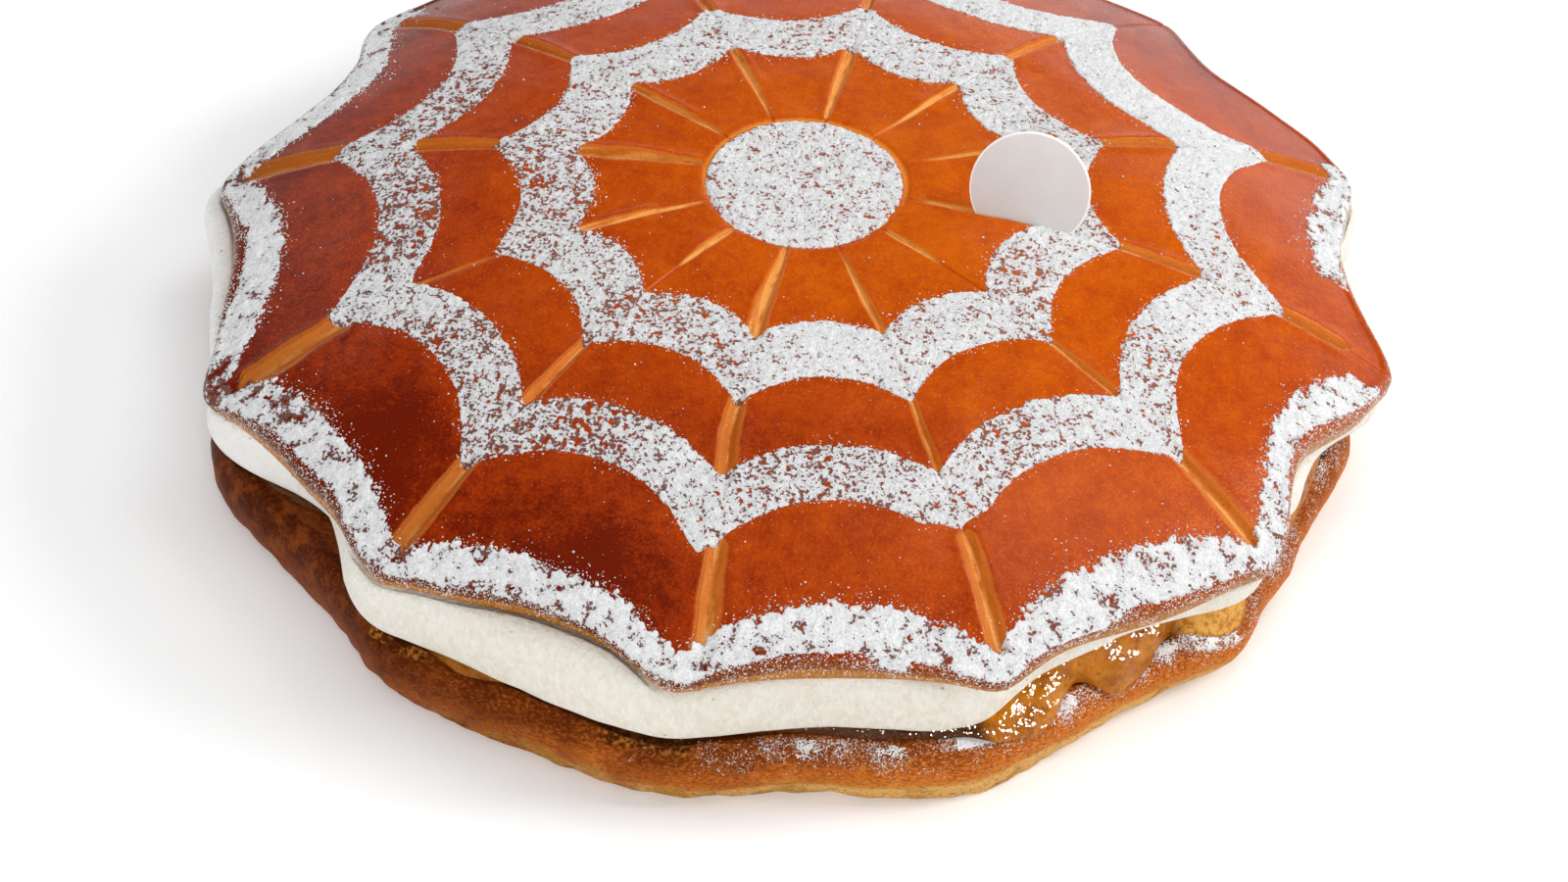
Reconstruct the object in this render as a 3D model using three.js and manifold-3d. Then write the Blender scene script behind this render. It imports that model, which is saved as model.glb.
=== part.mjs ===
// A filled brioche galette: a round loaf split in two, with a praline layer and whipped cream between
// the halves, a domed lid dusted with a web of icing sugar, and a plain round tag pressed into the lid.
// Millimetres, +Z up. The origin is the middle of the footprint, on the surface that the galette rests on.
import * as THREE from "three";
import { mergeVertices } from "three/addons/utils/BufferGeometryUtils.js";
import Module from "manifold-3d";

const { degToRad, euclideanModulo, lerp } = THREE.MathUtils;

// The web: score lines from the centre, and lines across that sag towards it between two score lines.
const SECTORS = 12;
const SECTOR_ANGLE = (2 * Math.PI) / SECTORS;
const WEB_SAG_POWER = 2.4;

// Each web line is a radius at the score lines and a radius halfway between them.
const DISC_EDGE = [20.9, 20.9];
const INNER_RING_FROM = [50.5, 45];
const INNER_RING_TO = [69.1, 61];
const OUTER_RING_FROM = [86.8, 78];
const OUTER_RING_TO = [104.9, 91.5];
const RIM_BAND_FROM = [121, 113];
const LIP = [130, 122.6];
const LID_SWELLS = [{ turn: 10.2, reach: 1, amount: 2.4 }];
const LID_SWELL_POWER = 6;

// The lid, measured from its flat cut face.
const LID_HEIGHT = 31.4;
const LID_DROP = 28;
const LID_DOME_POWER = 3;
const LIP_THICKNESS = 3.4;
const LIP_UNDERCUT = 1;
const LIP_ROUNDING = 0.8;
const LID_FLAT = [108, 104];
const LID_SEAT_HEIGHT = 27;
const LID_TILT = degToRad(1.86);
const LID_SLIDE = -0.75;
const SUGAR_THICKNESS = 0.6;
const SUGAR_EDGE_WIDTH = 0.6;
const SCORE_DEPTH = 1.4;
const SCORE_DEPTH_UNDER_SUGAR = 0.5;
const DISC_GROOVE = [22, 22];
const DISC_GROOVE_BRINK = [24.6, 24.6];
const DISC_GROOVE_DEPTH = 0.7;

// The base half: softer corners than the lid, set a little off the lid's axis.
const BASE_HEIGHT = 14;
const BASE_BELLY = [128.5, 123.2];
const BASE_SAG_POWER = 1.7;
const BASE_OFFSET = 3;
const BASE_OFFSET_TURN = 10;
const BASE_FOOT_INSET = 1.8;
const BASE_UNDERCUTS = [{ turn: 2.5, reach: 1.7, amount: 3.6 }];
const BASE_RIM_INSET = 0.4;
const BASE_RIM_HEIGHT = 11;
const BASE_CUT_INSET = 5.5;
const BASE_SIDE = [
  { height: 0, tuck: 1 },
  { height: 0.2, tuck: 0.5 },
  { height: 0.5, tuck: 0.1 },
];

// The fillings. The praline is thick where it oozes out over the rim, and there the cream is thin.
const LAYER_GAP = 0.35;
const CREAM_GAP = 0.65;
const PRALINE_THICKNESS = 1.8;
const PRALINE_INNER_RADIUS = 95;
const PRALINE_OOZE_RISE = 6;
const PRALINE_OOZE_MIN = 0.12;
const OOZES = [
  { turn: 1.55, reach: 0.95, amount: 0.85 },
  { turn: 2.65, reach: 0.75, amount: 0.6 },
];
const PRALINE_SIDE = [
  { inward: 0, upward: 0 },
  { inward: -0.1, upward: 0.3 },
  { inward: 0.5, upward: 0.8 },
];
const CREAM_INSET = 0.6;
const CREAM_TUCK = 4;
const CREAM_TOP_SHARE = 0.85;
const CREAM_SIDE = [
  { level: -0.04, inset: 0.6 },
  { level: 0.3, inset: 0 },
  { level: 0.75, inset: 0.4 },
];
const CREAM_SWELLS = [
  { turn: 0.7, reach: 1.4, amount: 0.8 },
  { turn: 2.5, reach: 1.6, amount: -1.6 },
  { turn: 6.6, reach: 1.2, amount: 1.5 },
  { turn: 9.25, reach: 0.38, amount: 6.2 },
  { turn: 9.7, reach: 0.5, amount: 2 },
  { turn: 10.6, reach: 0.6, amount: -5 },
  { turn: 11.4, reach: 1.1, amount: 2.8 },
];

// The tag: a thin disc that stands in the score line along +X and leans back from upright.
const TAG_RADIUS = 13;
const TAG_THICKNESS = 0.8;
const TAG_LEAN = degToRad(20);
const TAG_SUNK = 5.9;
const TAG_SPOKE_RADIUS = 48;
const TAG_SLOT_CLEARANCE = 0.35;
const TAG_SEGMENTS = 40;

// Columns of every turned solid, as fractions of a sector: close together beside the score lines.
const COLUMNS = [0, 0.047, 0.16, 0.32, 0.5, 0.68, 0.84, 0.953];

// Distance from halfway between two score lines: 0 halfway, 1 on a score line.
function towardsScoreLine(turn) {
  return Math.abs(2 * (turn - Math.floor(turn)) - 1);
}

function scallop([atScoreLine, halfway], turn, power) {
  return lerp(halfway, atScoreLine, towardsScoreLine(turn) ** power);
}

// A web line on the lid, which is a little larger round one of its tips.
function webRadius(line, turn) {
  const radius = scallop(line, turn, WEB_SAG_POWER);
  return radius + humps(LID_SWELLS, turn) * (radius / LIP[0]) ** LID_SWELL_POWER;
}

function movedLine(line, distance) {
  return [line[0] + distance, line[1] + distance];
}

// Sum of smooth humps round the outline. Each is highest at its turn and ends at its reach, in sectors.
function humps(list, turn) {
  let sum = 0;
  for (const hump of list) {
    const away = Math.abs(euclideanModulo(turn - hump.turn + SECTORS / 2, SECTORS) - SECTORS / 2);
    sum += away < hump.reach ? hump.amount * 0.5 * (1 + Math.cos((Math.PI * away) / hump.reach)) : 0;
  }
  return sum;
}

// A closed solid turned round the axis. Each row gives its radius and height for a turn, counted in
// sectors from the front (-Y) towards +X. The rows run from the axis below to the axis above.
function turnedSolid(rows) {
  const columnCount = SECTORS * COLUMNS.length;
  const profile = rows.map((row) => new THREE.Vector2(...row(0)));
  const geometry = new THREE.LatheGeometry(profile, columnCount);
  const position = geometry.attributes.position;
  for (let column = 0; column <= columnCount; column++) {
    const turn = Math.floor(column / COLUMNS.length) + COLUMNS[column % COLUMNS.length];
    const angle = turn * SECTOR_ANGLE;
    rows.forEach((row, index) => {
      const [radius, height] = row(euclideanModulo(turn, SECTORS));
      position.setXYZ(
        column * rows.length + index,
        radius * Math.sin(angle),
        height,
        radius * Math.cos(angle),
      );
    });
  }
  geometry.rotateX(Math.PI / 2);
  return weldedGeometry(geometry);
}

// The geometry with its shared vertices merged and the empty triangles at the axis left out.
function weldedGeometry(geometry) {
  geometry.deleteAttribute("normal");
  geometry.deleteAttribute("uv");
  const welded = mergeVertices(geometry, 1e-4);
  const kept = [];
  for (let i = 0; i < welded.index.count; i += 3) {
    const corners = [0, 1, 2].map((corner) => welded.index.getX(i + corner));
    if (new Set(corners).size === 3) kept.push(...corners);
  }
  welded.setIndex(kept);
  return welded;
}

function namedMesh(name, geometry, material) {
  geometry.computeVertexNormals();
  const mesh = new THREE.Mesh(geometry, new THREE.MeshStandardMaterial(material));
  mesh.name = name;
  return mesh;
}

// Base half: a flat foot, a bulging side and a cut top with a sloped rim.
function baseRadius(turn) {
  const offset = BASE_OFFSET * Math.cos((turn - BASE_OFFSET_TURN) * SECTOR_ANGLE);
  return scallop(BASE_BELLY, turn, BASE_SAG_POWER) + offset;
}

function baseGeometry() {
  const footInset = (turn) => BASE_FOOT_INSET + humps(BASE_UNDERCUTS, turn);
  return turnedSolid([
    () => [0, 0],
    ...BASE_SIDE.map(({ height, tuck }) => (turn) => {
      return [baseRadius(turn) - footInset(turn) * tuck, BASE_HEIGHT * height];
    }),
    (turn) => [baseRadius(turn) - BASE_RIM_INSET, BASE_RIM_HEIGHT],
    (turn) => [baseRadius(turn) - BASE_CUT_INSET, BASE_HEIGHT],
    () => [0, BASE_HEIGHT],
  ]);
}

// Praline: a thin layer on the cut face whose edge slides down the sloped rim where it oozes out.
function oozeAmount(turn) {
  return PRALINE_OOZE_MIN + humps(OOZES, turn);
}

// A point of the praline's top, from the flat middle (share 0) to its shoulder under the cream (share 1).
function pralineTop(turn, share) {
  const flat = BASE_HEIGHT + LAYER_GAP + PRALINE_THICKNESS;
  const radius = lerp(PRALINE_INNER_RADIUS, pralineShoulder(turn), share);
  return [radius, flat + PRALINE_OOZE_RISE * humps(OOZES, turn) * share ** 2];
}

function pralineShoulder(turn) {
  return Math.min(creamRadius(turn), baseRadius(turn)) - CREAM_TUCK;
}

function pralineGeometry() {
  const floor = BASE_HEIGHT + LAYER_GAP;
  const rimDrop = BASE_HEIGHT - BASE_RIM_HEIGHT;
  const edgeRadius = (turn) => {
    return baseRadius(turn) - lerp(BASE_CUT_INSET, BASE_RIM_INSET, oozeAmount(turn)) + LAYER_GAP / 2;
  };
  const edgeHeight = (turn) => floor - rimDrop * oozeAmount(turn);
  return turnedSolid([
    () => [0, floor],
    (turn) => [baseRadius(turn) - BASE_CUT_INSET + LAYER_GAP / 2, floor],
    ...PRALINE_SIDE.map(({ inward, upward }) => (turn) => {
      const [shoulderRadius, shoulderHeight] = pralineTop(turn, 1);
      const radius = lerp(edgeRadius(turn), shoulderRadius, inward);
      return [radius, lerp(edgeHeight(turn), shoulderHeight, upward)];
    }),
    (turn) => pralineTop(turn, 1),
    (turn) => pralineTop(turn, 0.5),
    (turn) => pralineTop(turn, 0),
    () => [0, pralineTop(0, 0)[1]],
  ]);
}

// Cream: a thick band that swells out between the halves, with its top under the lid's drooping lip.
function creamRadius(turn) {
  return webRadius(LIP, turn) - CREAM_INSET + humps(CREAM_SWELLS, turn);
}

// A point of the lid's underside in its own frame, from the flat (share 0) to the lip (share 1).
function lidUnderside(turn, share) {
  const lip = webRadius(LIP, turn);
  const radius = lerp(webRadius(LID_FLAT, turn), lip - LIP_UNDERCUT, share);
  return [radius, (dome(lip) - LIP_THICKNESS) * share];
}

function creamGeometry() {
  const floor = (turn, share) => {
    const [radius, height] = pralineTop(turn, share);
    return [radius, height + CREAM_GAP];
  };
  const ceiling = (turn, share) => {
    const [radius, height] = lidUnderside(turn, share);
    const tiltRise = Math.tan(LID_TILT) * radius * Math.cos(turn * SECTOR_ANGLE);
    return [radius, LID_SEAT_HEIGHT + height + tiltRise - CREAM_GAP];
  };
  return turnedSolid([
    () => [0, floor(0, 0)[1]],
    (turn) => floor(turn, 0),
    (turn) => floor(turn, 0.5),
    (turn) => floor(turn, 1),
    ...CREAM_SIDE.map(({ level, inset }) => (turn) => {
      const height = lerp(floor(turn, 1)[1], ceiling(turn, CREAM_TOP_SHARE)[1], level);
      return [creamRadius(turn) - inset, height];
    }),
    (turn) => ceiling(turn, CREAM_TOP_SHARE),
    (turn) => ceiling(turn, CREAM_TOP_SHARE / 2),
    (turn) => ceiling(turn, 0),
    () => [0, LID_SEAT_HEIGHT - CREAM_GAP],
  ]);
}

// Lid: a domed crust scored along the web's lines, with the sugar bands fused on as low steps.
function dome(radius) {
  return LID_HEIGHT - LID_DROP * (radius / LIP[0]) ** LID_DOME_POWER;
}

function crustRow(line, raised, scoreDepth) {
  return (turn) => {
    const radius = webRadius(line, turn);
    const onScoreLine = turn % 1 === 0;
    return [radius, dome(radius) + raised - (onScoreLine ? scoreDepth : 0)];
  };
}

// The step at a sugar band's edge: two rows, the outer one first.
function sugarStep(line, { sugarInside }) {
  const half = SUGAR_EDGE_WIDTH / 2;
  const bare = crustRow(movedLine(line, sugarInside ? half : -half), 0, SCORE_DEPTH);
  const sugar = sugarRow(movedLine(line, sugarInside ? -half : half));
  return sugarInside ? [bare, sugar] : [sugar, bare];
}

function sugarRow(line) {
  return crustRow(line, SUGAR_THICKNESS, SCORE_DEPTH_UNDER_SUGAR);
}

function halfwayLine(outer, inner) {
  return [(outer[0] + inner[0]) / 2, (outer[1] + inner[1]) / 2];
}

function lidGeometry() {
  const lipTop = (turn) => dome(webRadius(LIP, turn));
  return turnedSolid([
    () => [0, 0],
    (turn) => lidUnderside(turn, 0),
    (turn) => lidUnderside(turn, CREAM_TOP_SHARE / 2),
    (turn) => lidUnderside(turn, CREAM_TOP_SHARE),
    (turn) => lidUnderside(turn, 1),
    (turn) => [webRadius(LIP, turn), lipTop(turn) - LIP_THICKNESS / 2],
    crustRow(movedLine(LIP, -LIP_ROUNDING), SUGAR_THICKNESS, 0),
    sugarRow(halfwayLine(LIP, RIM_BAND_FROM)),
    ...sugarStep(RIM_BAND_FROM, { sugarInside: false }),
    crustRow(halfwayLine(RIM_BAND_FROM, OUTER_RING_TO), 0, SCORE_DEPTH),
    ...sugarStep(OUTER_RING_TO, { sugarInside: true }),
    sugarRow(halfwayLine(OUTER_RING_TO, OUTER_RING_FROM)),
    ...sugarStep(OUTER_RING_FROM, { sugarInside: false }),
    crustRow(halfwayLine(OUTER_RING_FROM, INNER_RING_TO), 0, SCORE_DEPTH),
    ...sugarStep(INNER_RING_TO, { sugarInside: true }),
    sugarRow(halfwayLine(INNER_RING_TO, INNER_RING_FROM)),
    ...sugarStep(INNER_RING_FROM, { sugarInside: false }),
    crustRow(halfwayLine(INNER_RING_FROM, DISC_EDGE), 0, SCORE_DEPTH),
    crustRow(DISC_GROOVE_BRINK, 0, SCORE_DEPTH / 2),
    crustRow(DISC_GROOVE, -DISC_GROOVE_DEPTH, 0),
    crustRow(DISC_EDGE, SUGAR_THICKNESS, 0),
    () => [0, LID_HEIGHT + SUGAR_THICKNESS],
  ]);
}

// Tag: a plain disc, placed in the lid's own frame, and the slot that it makes in the crust.
function placedDisc(radius, thickness) {
  const standing = TAG_RADIUS - TAG_SUNK;
  const disc = new THREE.CylinderGeometry(radius, radius, thickness, TAG_SEGMENTS);
  disc.rotateX(-TAG_LEAN);
  disc.translate(
    TAG_SPOKE_RADIUS,
    standing * Math.sin(TAG_LEAN),
    dome(TAG_SPOKE_RADIUS) + standing * Math.cos(TAG_LEAN),
  );
  return weldedGeometry(disc);
}

async function cutGeometry(geometry, tool) {
  const wasm = await Module();
  wasm.setup();
  const solid = (source) => {
    const mesh = new wasm.Mesh({
      numProp: 3,
      vertProperties: new Float32Array(source.attributes.position.array),
      triVerts: new Uint32Array(source.index.array),
    });
    return new wasm.Manifold(mesh);
  };
  const result = solid(geometry).subtract(solid(tool)).getMesh();
  const cut = new THREE.BufferGeometry();
  cut.setAttribute("position", new THREE.BufferAttribute(result.vertProperties, 3));
  cut.setIndex(new THREE.BufferAttribute(result.triVerts, 1));
  return cut;
}

const tagSlot = placedDisc(TAG_RADIUS + TAG_SLOT_CLEARANCE, TAG_THICKNESS + 2 * TAG_SLOT_CLEARANCE);
const slottedLid = await cutGeometry(lidGeometry(), tagSlot);

const lidWithTag = new THREE.Group();
lidWithTag.position.set(0, LID_SLIDE, LID_SEAT_HEIGHT);
lidWithTag.rotation.x = -LID_TILT;
lidWithTag.add(
  namedMesh("brioche_lid", slottedLid, { color: 0xa8481c, roughness: 0.45 }),
  namedMesh("tag_disc", placedDisc(TAG_RADIUS, TAG_THICKNESS), { color: 0xe6e2de, roughness: 0.5 }),
);

const galette = new THREE.Group();
galette.add(
  namedMesh("brioche_base", baseGeometry(), { color: 0x8a4a1e, roughness: 0.7 }),
  namedMesh("praline_layer", pralineGeometry(), { color: 0x9a5a18, roughness: 0.25 }),
  namedMesh("cream_layer", creamGeometry(), { color: 0xf0ebdf, roughness: 0.6 }),
  lidWithTag,
);

// The outline isn't quite even, so the whole is moved until its box is centred on the axis.
const middle = new THREE.Box3().setFromObject(galette, true).getCenter(new THREE.Vector3());
galette.position.set(-middle.x, -middle.y, 0);

export default galette;
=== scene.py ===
import math

import bmesh
import bpy
import numpy as np
from mathutils import Matrix, Vector, noise


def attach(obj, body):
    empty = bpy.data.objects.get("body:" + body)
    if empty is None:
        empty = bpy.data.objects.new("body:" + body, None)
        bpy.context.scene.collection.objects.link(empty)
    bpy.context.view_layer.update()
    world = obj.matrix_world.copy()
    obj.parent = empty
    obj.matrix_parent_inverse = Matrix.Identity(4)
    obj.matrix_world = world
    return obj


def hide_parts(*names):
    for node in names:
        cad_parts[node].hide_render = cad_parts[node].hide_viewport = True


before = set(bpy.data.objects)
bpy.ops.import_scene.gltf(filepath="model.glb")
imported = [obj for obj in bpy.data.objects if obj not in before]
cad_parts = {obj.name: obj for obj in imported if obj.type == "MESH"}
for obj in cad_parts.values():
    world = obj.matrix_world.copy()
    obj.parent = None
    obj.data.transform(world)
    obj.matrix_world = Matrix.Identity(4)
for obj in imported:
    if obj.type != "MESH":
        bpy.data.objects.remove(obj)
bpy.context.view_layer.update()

# Camera, floor and light
# A long lens looks down on the galette from its front, the cake a little turned to the left.
# It stands on a plain pale floor in a soft white studio, with the main light from the right and behind.
LENS = 122.948
SENSOR_WIDTH = 36.0
CAMERA_AZIMUTH = math.radians(10.03)
CAMERA_ELEVATION = math.radians(43.129)
CAMERA_ROLL = math.radians(2.683)
CAMERA_PLACE = (-1.9526, -873.757, 800.558)
# The frame's origin is the middle of the solids' box; the cake's axis stands this far beside it.
GALETTE_SHIFT = (0.512, 0.425, 0.0)
MM = 0.001
FLOOR_REACH = 4000.0
FLOOR_DROP = 0.2
FLOOR_CLOUDS = 300.0

turned = Matrix.Rotation(CAMERA_AZIMUTH, 3, "Z")
camera_back = turned @ Vector((0, -math.cos(CAMERA_ELEVATION), math.sin(CAMERA_ELEVATION)))
level_right = turned @ Vector((1, 0, 0))
level_up = camera_back.cross(level_right)
camera_right = level_right * math.cos(CAMERA_ROLL) + level_up * math.sin(CAMERA_ROLL)
camera_up = camera_back.cross(camera_right)
camera_data = bpy.data.cameras.new("camera")
camera_data.sensor_width = SENSOR_WIDTH
camera_data.lens = LENS
camera = bpy.data.objects.new("camera", camera_data)
bpy.context.collection.objects.link(camera)
camera_turn = Matrix((camera_right, camera_up, camera_back)).transposed().to_4x4()
camera_spot = (turned @ Vector(CAMERA_PLACE) + Vector(GALETTE_SHIFT)) * MM
camera.matrix_world = Matrix.Translation(camera_spot) @ camera_turn
bpy.context.scene.camera = camera
bpy.context.scene.view_settings.view_transform = "Standard"


class Wire:
    """One socket in a finish. Arithmetic on it adds Math nodes, and add() makes any other node."""

    def __init__(self, tree, socket=None):
        self.tree = tree
        self.socket = socket

    def add(self, kind, settings=None, sockets=None, output=0):
        node = self.tree.nodes.new(kind)
        for name, value in (settings or {}).items():
            if name == "stops":
                ramp = node.color_ramp
                while len(ramp.elements) < len(value):
                    ramp.elements.new(1.0)
                for element, (place, colour) in zip(ramp.elements, value):
                    element.position = place
                    element.color = colour
            else:
                setattr(node, name, value)
        for key, value in (sockets or {}).items():
            if isinstance(value, Wire):
                self.tree.links.new(value.socket, node.inputs[key])
            else:
                node.inputs[key].default_value = value
        return Wire(self.tree, node.outputs[output])

    def maths(self, operation, first, second=0.0):
        return self.add("ShaderNodeMath", {"operation": operation}, {0: first, 1: second})

    def __add__(self, other):
        return self.maths("ADD", self, other)

    __radd__ = __add__

    def __sub__(self, other):
        return self.maths("SUBTRACT", self, other)

    def __rsub__(self, other):
        return self.maths("SUBTRACT", other, self)

    def __mul__(self, other):
        return self.maths("MULTIPLY", self, other)

    __rmul__ = __mul__

    def step(self, low, high):
        """Smooth step from 0 at low to 1 at high."""
        settings = {"interpolation_type": "SMOOTHSTEP"}
        return self.add("ShaderNodeMapRange", settings, {"Value": self, "From Min": low, "From Max": high})

    def blend(self, first, second):
        """Mixes two colours by this value."""
        return self.add("ShaderNodeMix", {"data_type": "RGBA"}, {0: self, 6: first, 7: second}, output=2)

    def grain(self, size, detail=2.0, roughness=0.5, seed=0.0, stretch=(1.0, 1.0, 1.0)):
        """Noise of about the given size in millimetres over the piece, from 0 to 1."""
        spot = self.add("ShaderNodeTexCoord", output=3)
        shift = (seed, seed * 0.7, -seed)
        moved = self.add("ShaderNodeMapping", None, {"Vector": spot, "Location": shift, "Scale": stretch})
        return moved.noise(1.0 / (size * MM), detail, roughness)

    def noise(self, scale, detail, roughness):
        """Noise at the point that this vector gives."""
        sockets = {"Vector": self, "Scale": scale, "Detail": detail, "Roughness": roughness}
        return self.add("ShaderNodeTexNoise", None, sockets)

    def place(self, axis):
        """Where a point of the piece lies along X (0), Y (1) or Z (2), in millimetres."""
        spot = self.add("ShaderNodeTexCoord", output=3)
        return self.add("ShaderNodeSeparateXYZ", None, {0: spot}, output=axis) * (1.0 / MM)

    def carried(self, name):
        """A value stored on the piece's points."""
        return self.add("ShaderNodeAttribute", {"attribute_name": name}, output=2)

    def bump(self, height, depth):
        """Normal from a height field; depth is in millimetres."""
        return self.add("ShaderNodeBump", None, {"Height": height, "Distance": depth * MM, "Strength": 1.0})


def finish_of(name, **constants):
    """A new material with one Principled shader; constants are its fixed sockets."""
    material = bpy.data.materials.new(name)
    material.use_nodes = True
    shader = material.node_tree.nodes["Principled BSDF"]
    for key, value in constants.items():
        shader.inputs[key.replace("_", " ")].default_value = value
    return material, Wire(material.node_tree), shader


def feed(wire, shader, **sockets):
    """Links finished values to the shader's sockets."""
    for key, value in sockets.items():
        wire.tree.links.new(value.socket, shader.inputs[key.replace("_", " ")])


def colour(red, green, blue):
    """An opaque colour."""
    return (red, green, blue, 1.0)


floor_material, floor_wire, floor_shader = finish_of("white_table", Roughness=0.9, Emission_Strength=0.13)
floor_shader.inputs["Emission Color"].default_value = colour(1.0, 1.0, 1.0)
floor_tone = floor_wire.grain(FLOOR_CLOUDS).blend(colour(0.9, 0.9, 0.9), colour(0.92, 0.92, 0.92))
feed(floor_wire, floor_shader, Base_Color=floor_tone)
floor_form = bmesh.new()
bmesh.ops.create_grid(floor_form, x_segments=1, y_segments=1, size=FLOOR_REACH * MM)
bmesh.ops.translate(floor_form, vec=(0, 0, -FLOOR_DROP * MM), verts=floor_form.verts)
floor_mesh = bpy.data.meshes.new("table_top")
floor_form.to_mesh(floor_mesh)
floor_mesh.materials.append(floor_material)
floor = bpy.data.objects.new("table_top", floor_mesh)
bpy.context.collection.objects.link(floor)

world = bpy.data.worlds.new("studio")
world.use_nodes = True
bpy.context.scene.world = world
world_wire = Wire(world.node_tree)
towards = world_wire.add("ShaderNodeTexCoord")
rightward, behind, upward = (
    world_wire.add("ShaderNodeSeparateXYZ", None, {0: towards}, output=axis) for axis in range(3)
)
WALL_GLOW = 0.62
RIGHT_WALL_GLOW = 1.8
LEFT_WALL_LOSS = 0.4
LEFT_FILL_GLOW = 1.1
right_wall = RIGHT_WALL_GLOW * (behind * 0.7 + rightward * 0.7).step(0.1, 0.95)
left_wall = LEFT_WALL_LOSS * (behind * 0.8 - rightward * 0.6).step(0.5, 1.0)
left_fill = LEFT_FILL_GLOW * (0 - rightward).step(0.3, 1.0)
low_wall = (1 - upward.step(0.16, 0.44)) * (WALL_GLOW + right_wall - left_wall + left_fill)
lit_wall = (low_wall * 0.5).blend(colour(0.03, 0.03, 0.03), colour(1.9, 1.9, 1.94))
seen = world_wire.add("ShaderNodeLightPath", output=0)
surround = seen.blend(lit_wall, colour(1.0, 1.0, 1.0))
world.node_tree.links.new(surround.socket, world.node_tree.nodes["Background"].inputs["Color"])


def soft_light(name, place, size, power, mirrored=True, scattered=True):
    """A lamp aimed at the cake; its place, in metres, is to the camera's right, away from it and up."""
    data = bpy.data.lights.new(name, "AREA")
    data.shape = "RECTANGLE"
    data.size, data.size_y = size
    data.energy = power
    lamp = bpy.data.objects.new(name, data)
    spot = turned @ Vector(place)
    lamp.matrix_world = Matrix.Translation(spot) @ spot.to_track_quat("Z", "Y").to_matrix().to_4x4()
    lamp.visible_glossy = mirrored
    lamp.visible_diffuse = scattered
    bpy.context.collection.objects.link(lamp)
    return lamp


soft_light("top_light", (-0.1, 0.15, 1.5), (1.3, 1.3), 7.6, mirrored=False)
soft_light("key_light", (1.3, 0.15, 1.0), (0.5, 0.5), 12.0)
soft_light("sheen_light", (0.62, 0.24, 1.35), (0.65, 0.55), 4.5)
soft_light("window_light", (-0.8, 1.02, 0.74), (0.5, 0.35), 0.9)
soft_light("front_light", (-0.3, -1.5, 1.0), (1.8, 0.8), 16.0)

# Base
# The lower half of a brioche, cut flat at 14 mm, its side baked brown and its foot left pale by the tin.
# It is a low twelve-sided round that leans out on one side; where the knife passed, crumb shows at the rim.
# Shade from the cream above is painted on the base's top, so the cream's outline is here too.
SECTORS = 12
SECTOR_ANGLE = 2 * math.pi / SECTORS
BASE_HEIGHT = 14.0
# A scalloped line: its radius at the spokes and midway between them.
BASE_RIM = (128.5, 123.2)
BASE_CORNER = 0.22
BASE_SHOULDER = 5.5
BASE_SHOULDER_DROP = 6.0
BASE_SAG_POWER = 1.7
BASE_LEAN = 3.0
BASE_LEANS_TO = 10
BASE_FOOT_INSET = 1.8
BASE_FOOT_TUCKS = ((2.5, 1.7, 3.6),)
BASE_COLUMNS = 1100
BASE_ROWS = 66
# Layers of unevenness: the size of the swells, a seed and a height.
BASE_LUMPS = ((19.0, 3.1, 1.1), (7.0, 8.2, 0.35))
BASE_GRAIN = ((2.2, 5.5, 0.16),)
RAGGED_FOOT = ((4.0, 6.6, 0.7),)
CUT_TOP_PORES = ((1.3, 9.0, 0.3),)
TORN_CRUMB_SIZE = 1.8
TORN_CRUMB_DEPTH = 3.2
# Humps round the cake: a place in sectors, a reach to either side and an amount.
BASE_SWELLS = (
    (2.95, 0.6, -3.0),
    (2.16, 0.24, -2.0),
    (10.8, 0.5, -1.8),
    (11.52, 0.6, 3.0),
    (0.75, 0.5, 2.8),
    (8.5, 0.5, -8.0),
)
BASE_TEARS = ((10.97, 0.09, 1.0), (11.1, 0.1, 0.7), (11.84, 0.12, 1.0), (0.0, 0.14, 0.8), (6.3, 0.3, 0.9))
BASE_DUST = (
    (0.45, 0.6, 0.7),
    (0.42, 0.06, 0.5),
    (0.68, 0.09, 0.6),
    (0.97, 0.1, 0.6),
    (1.25, 0.3, 1.0),
    (1.6, 0.3, 1.0),
    (2.3, 0.4, 0.8),
    (2.8, 0.3, 0.6),
    (3.4, 0.5, 0.4),
    (5.2, 0.6, 0.5),
    (7.4, 0.5, 0.45),
)
BASE_DUST_LINES = ((0.95, 0.17, 1.8), (1.86, 0.2, 1.4), (1.66, 0.1, 0.8))
# The shares of a section's rows at which its legs end.
BASE_PATH = (0.0, 0.2, 0.52, 0.93, 1.0)
# Painted shade on the base's top ends this far inside the cream's outline, further in where the cream
# overhangs.
SHADE_INSET = 2.2
SHADE_OF_OVERHANG = 0.8
SHADE_FADE = 1.8
DEEP_SHADE = ((11.93, 0.24, 0.7), (0.6, 0.5, 0.4))
CRUMB_RISE = 9.0
CRUMB_WEDGE = ((1.94, 0.25, 1.0),)
WEDGE_CLIMB = (1.6, 7.5)
WEDGE_END = (11.0, 15.0)
PALE_FOOT = ((1.4, 1.5, 1.0), (11.75, 0.5, 0.4))
WEB_SAG_POWER = 2.4
CREAM_RIM = (130.3, 122.6)
CREAM_CORNER = 0.2
CREAM_SWELLS = (
    (9.08, 0.42, 3.6),
    (9.55, 0.46, 5.0),
    (10.05, 0.24, 2.2),
    (10.5, 0.34, -3.8),
    (10.9, 0.2, 1.6),
    (11.55, 0.6, 5.2),
    (0.0, 0.25, -1.2),
    (1.09, 0.36, -5.3),
    (8.5, 0.5, -9.0),
    (1.75, 0.5, -1.8),
    (2.2, 0.3, -3.6),
    (2.75, 0.6, -5.0),
    (3.5, 0.4, -5.0),
    (4.6, 0.46, -9.6),
    (5.4, 0.8, -3.4),
    (6.6, 0.9, 1.8),
    (7.7, 0.5, 2.2),
)


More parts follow.
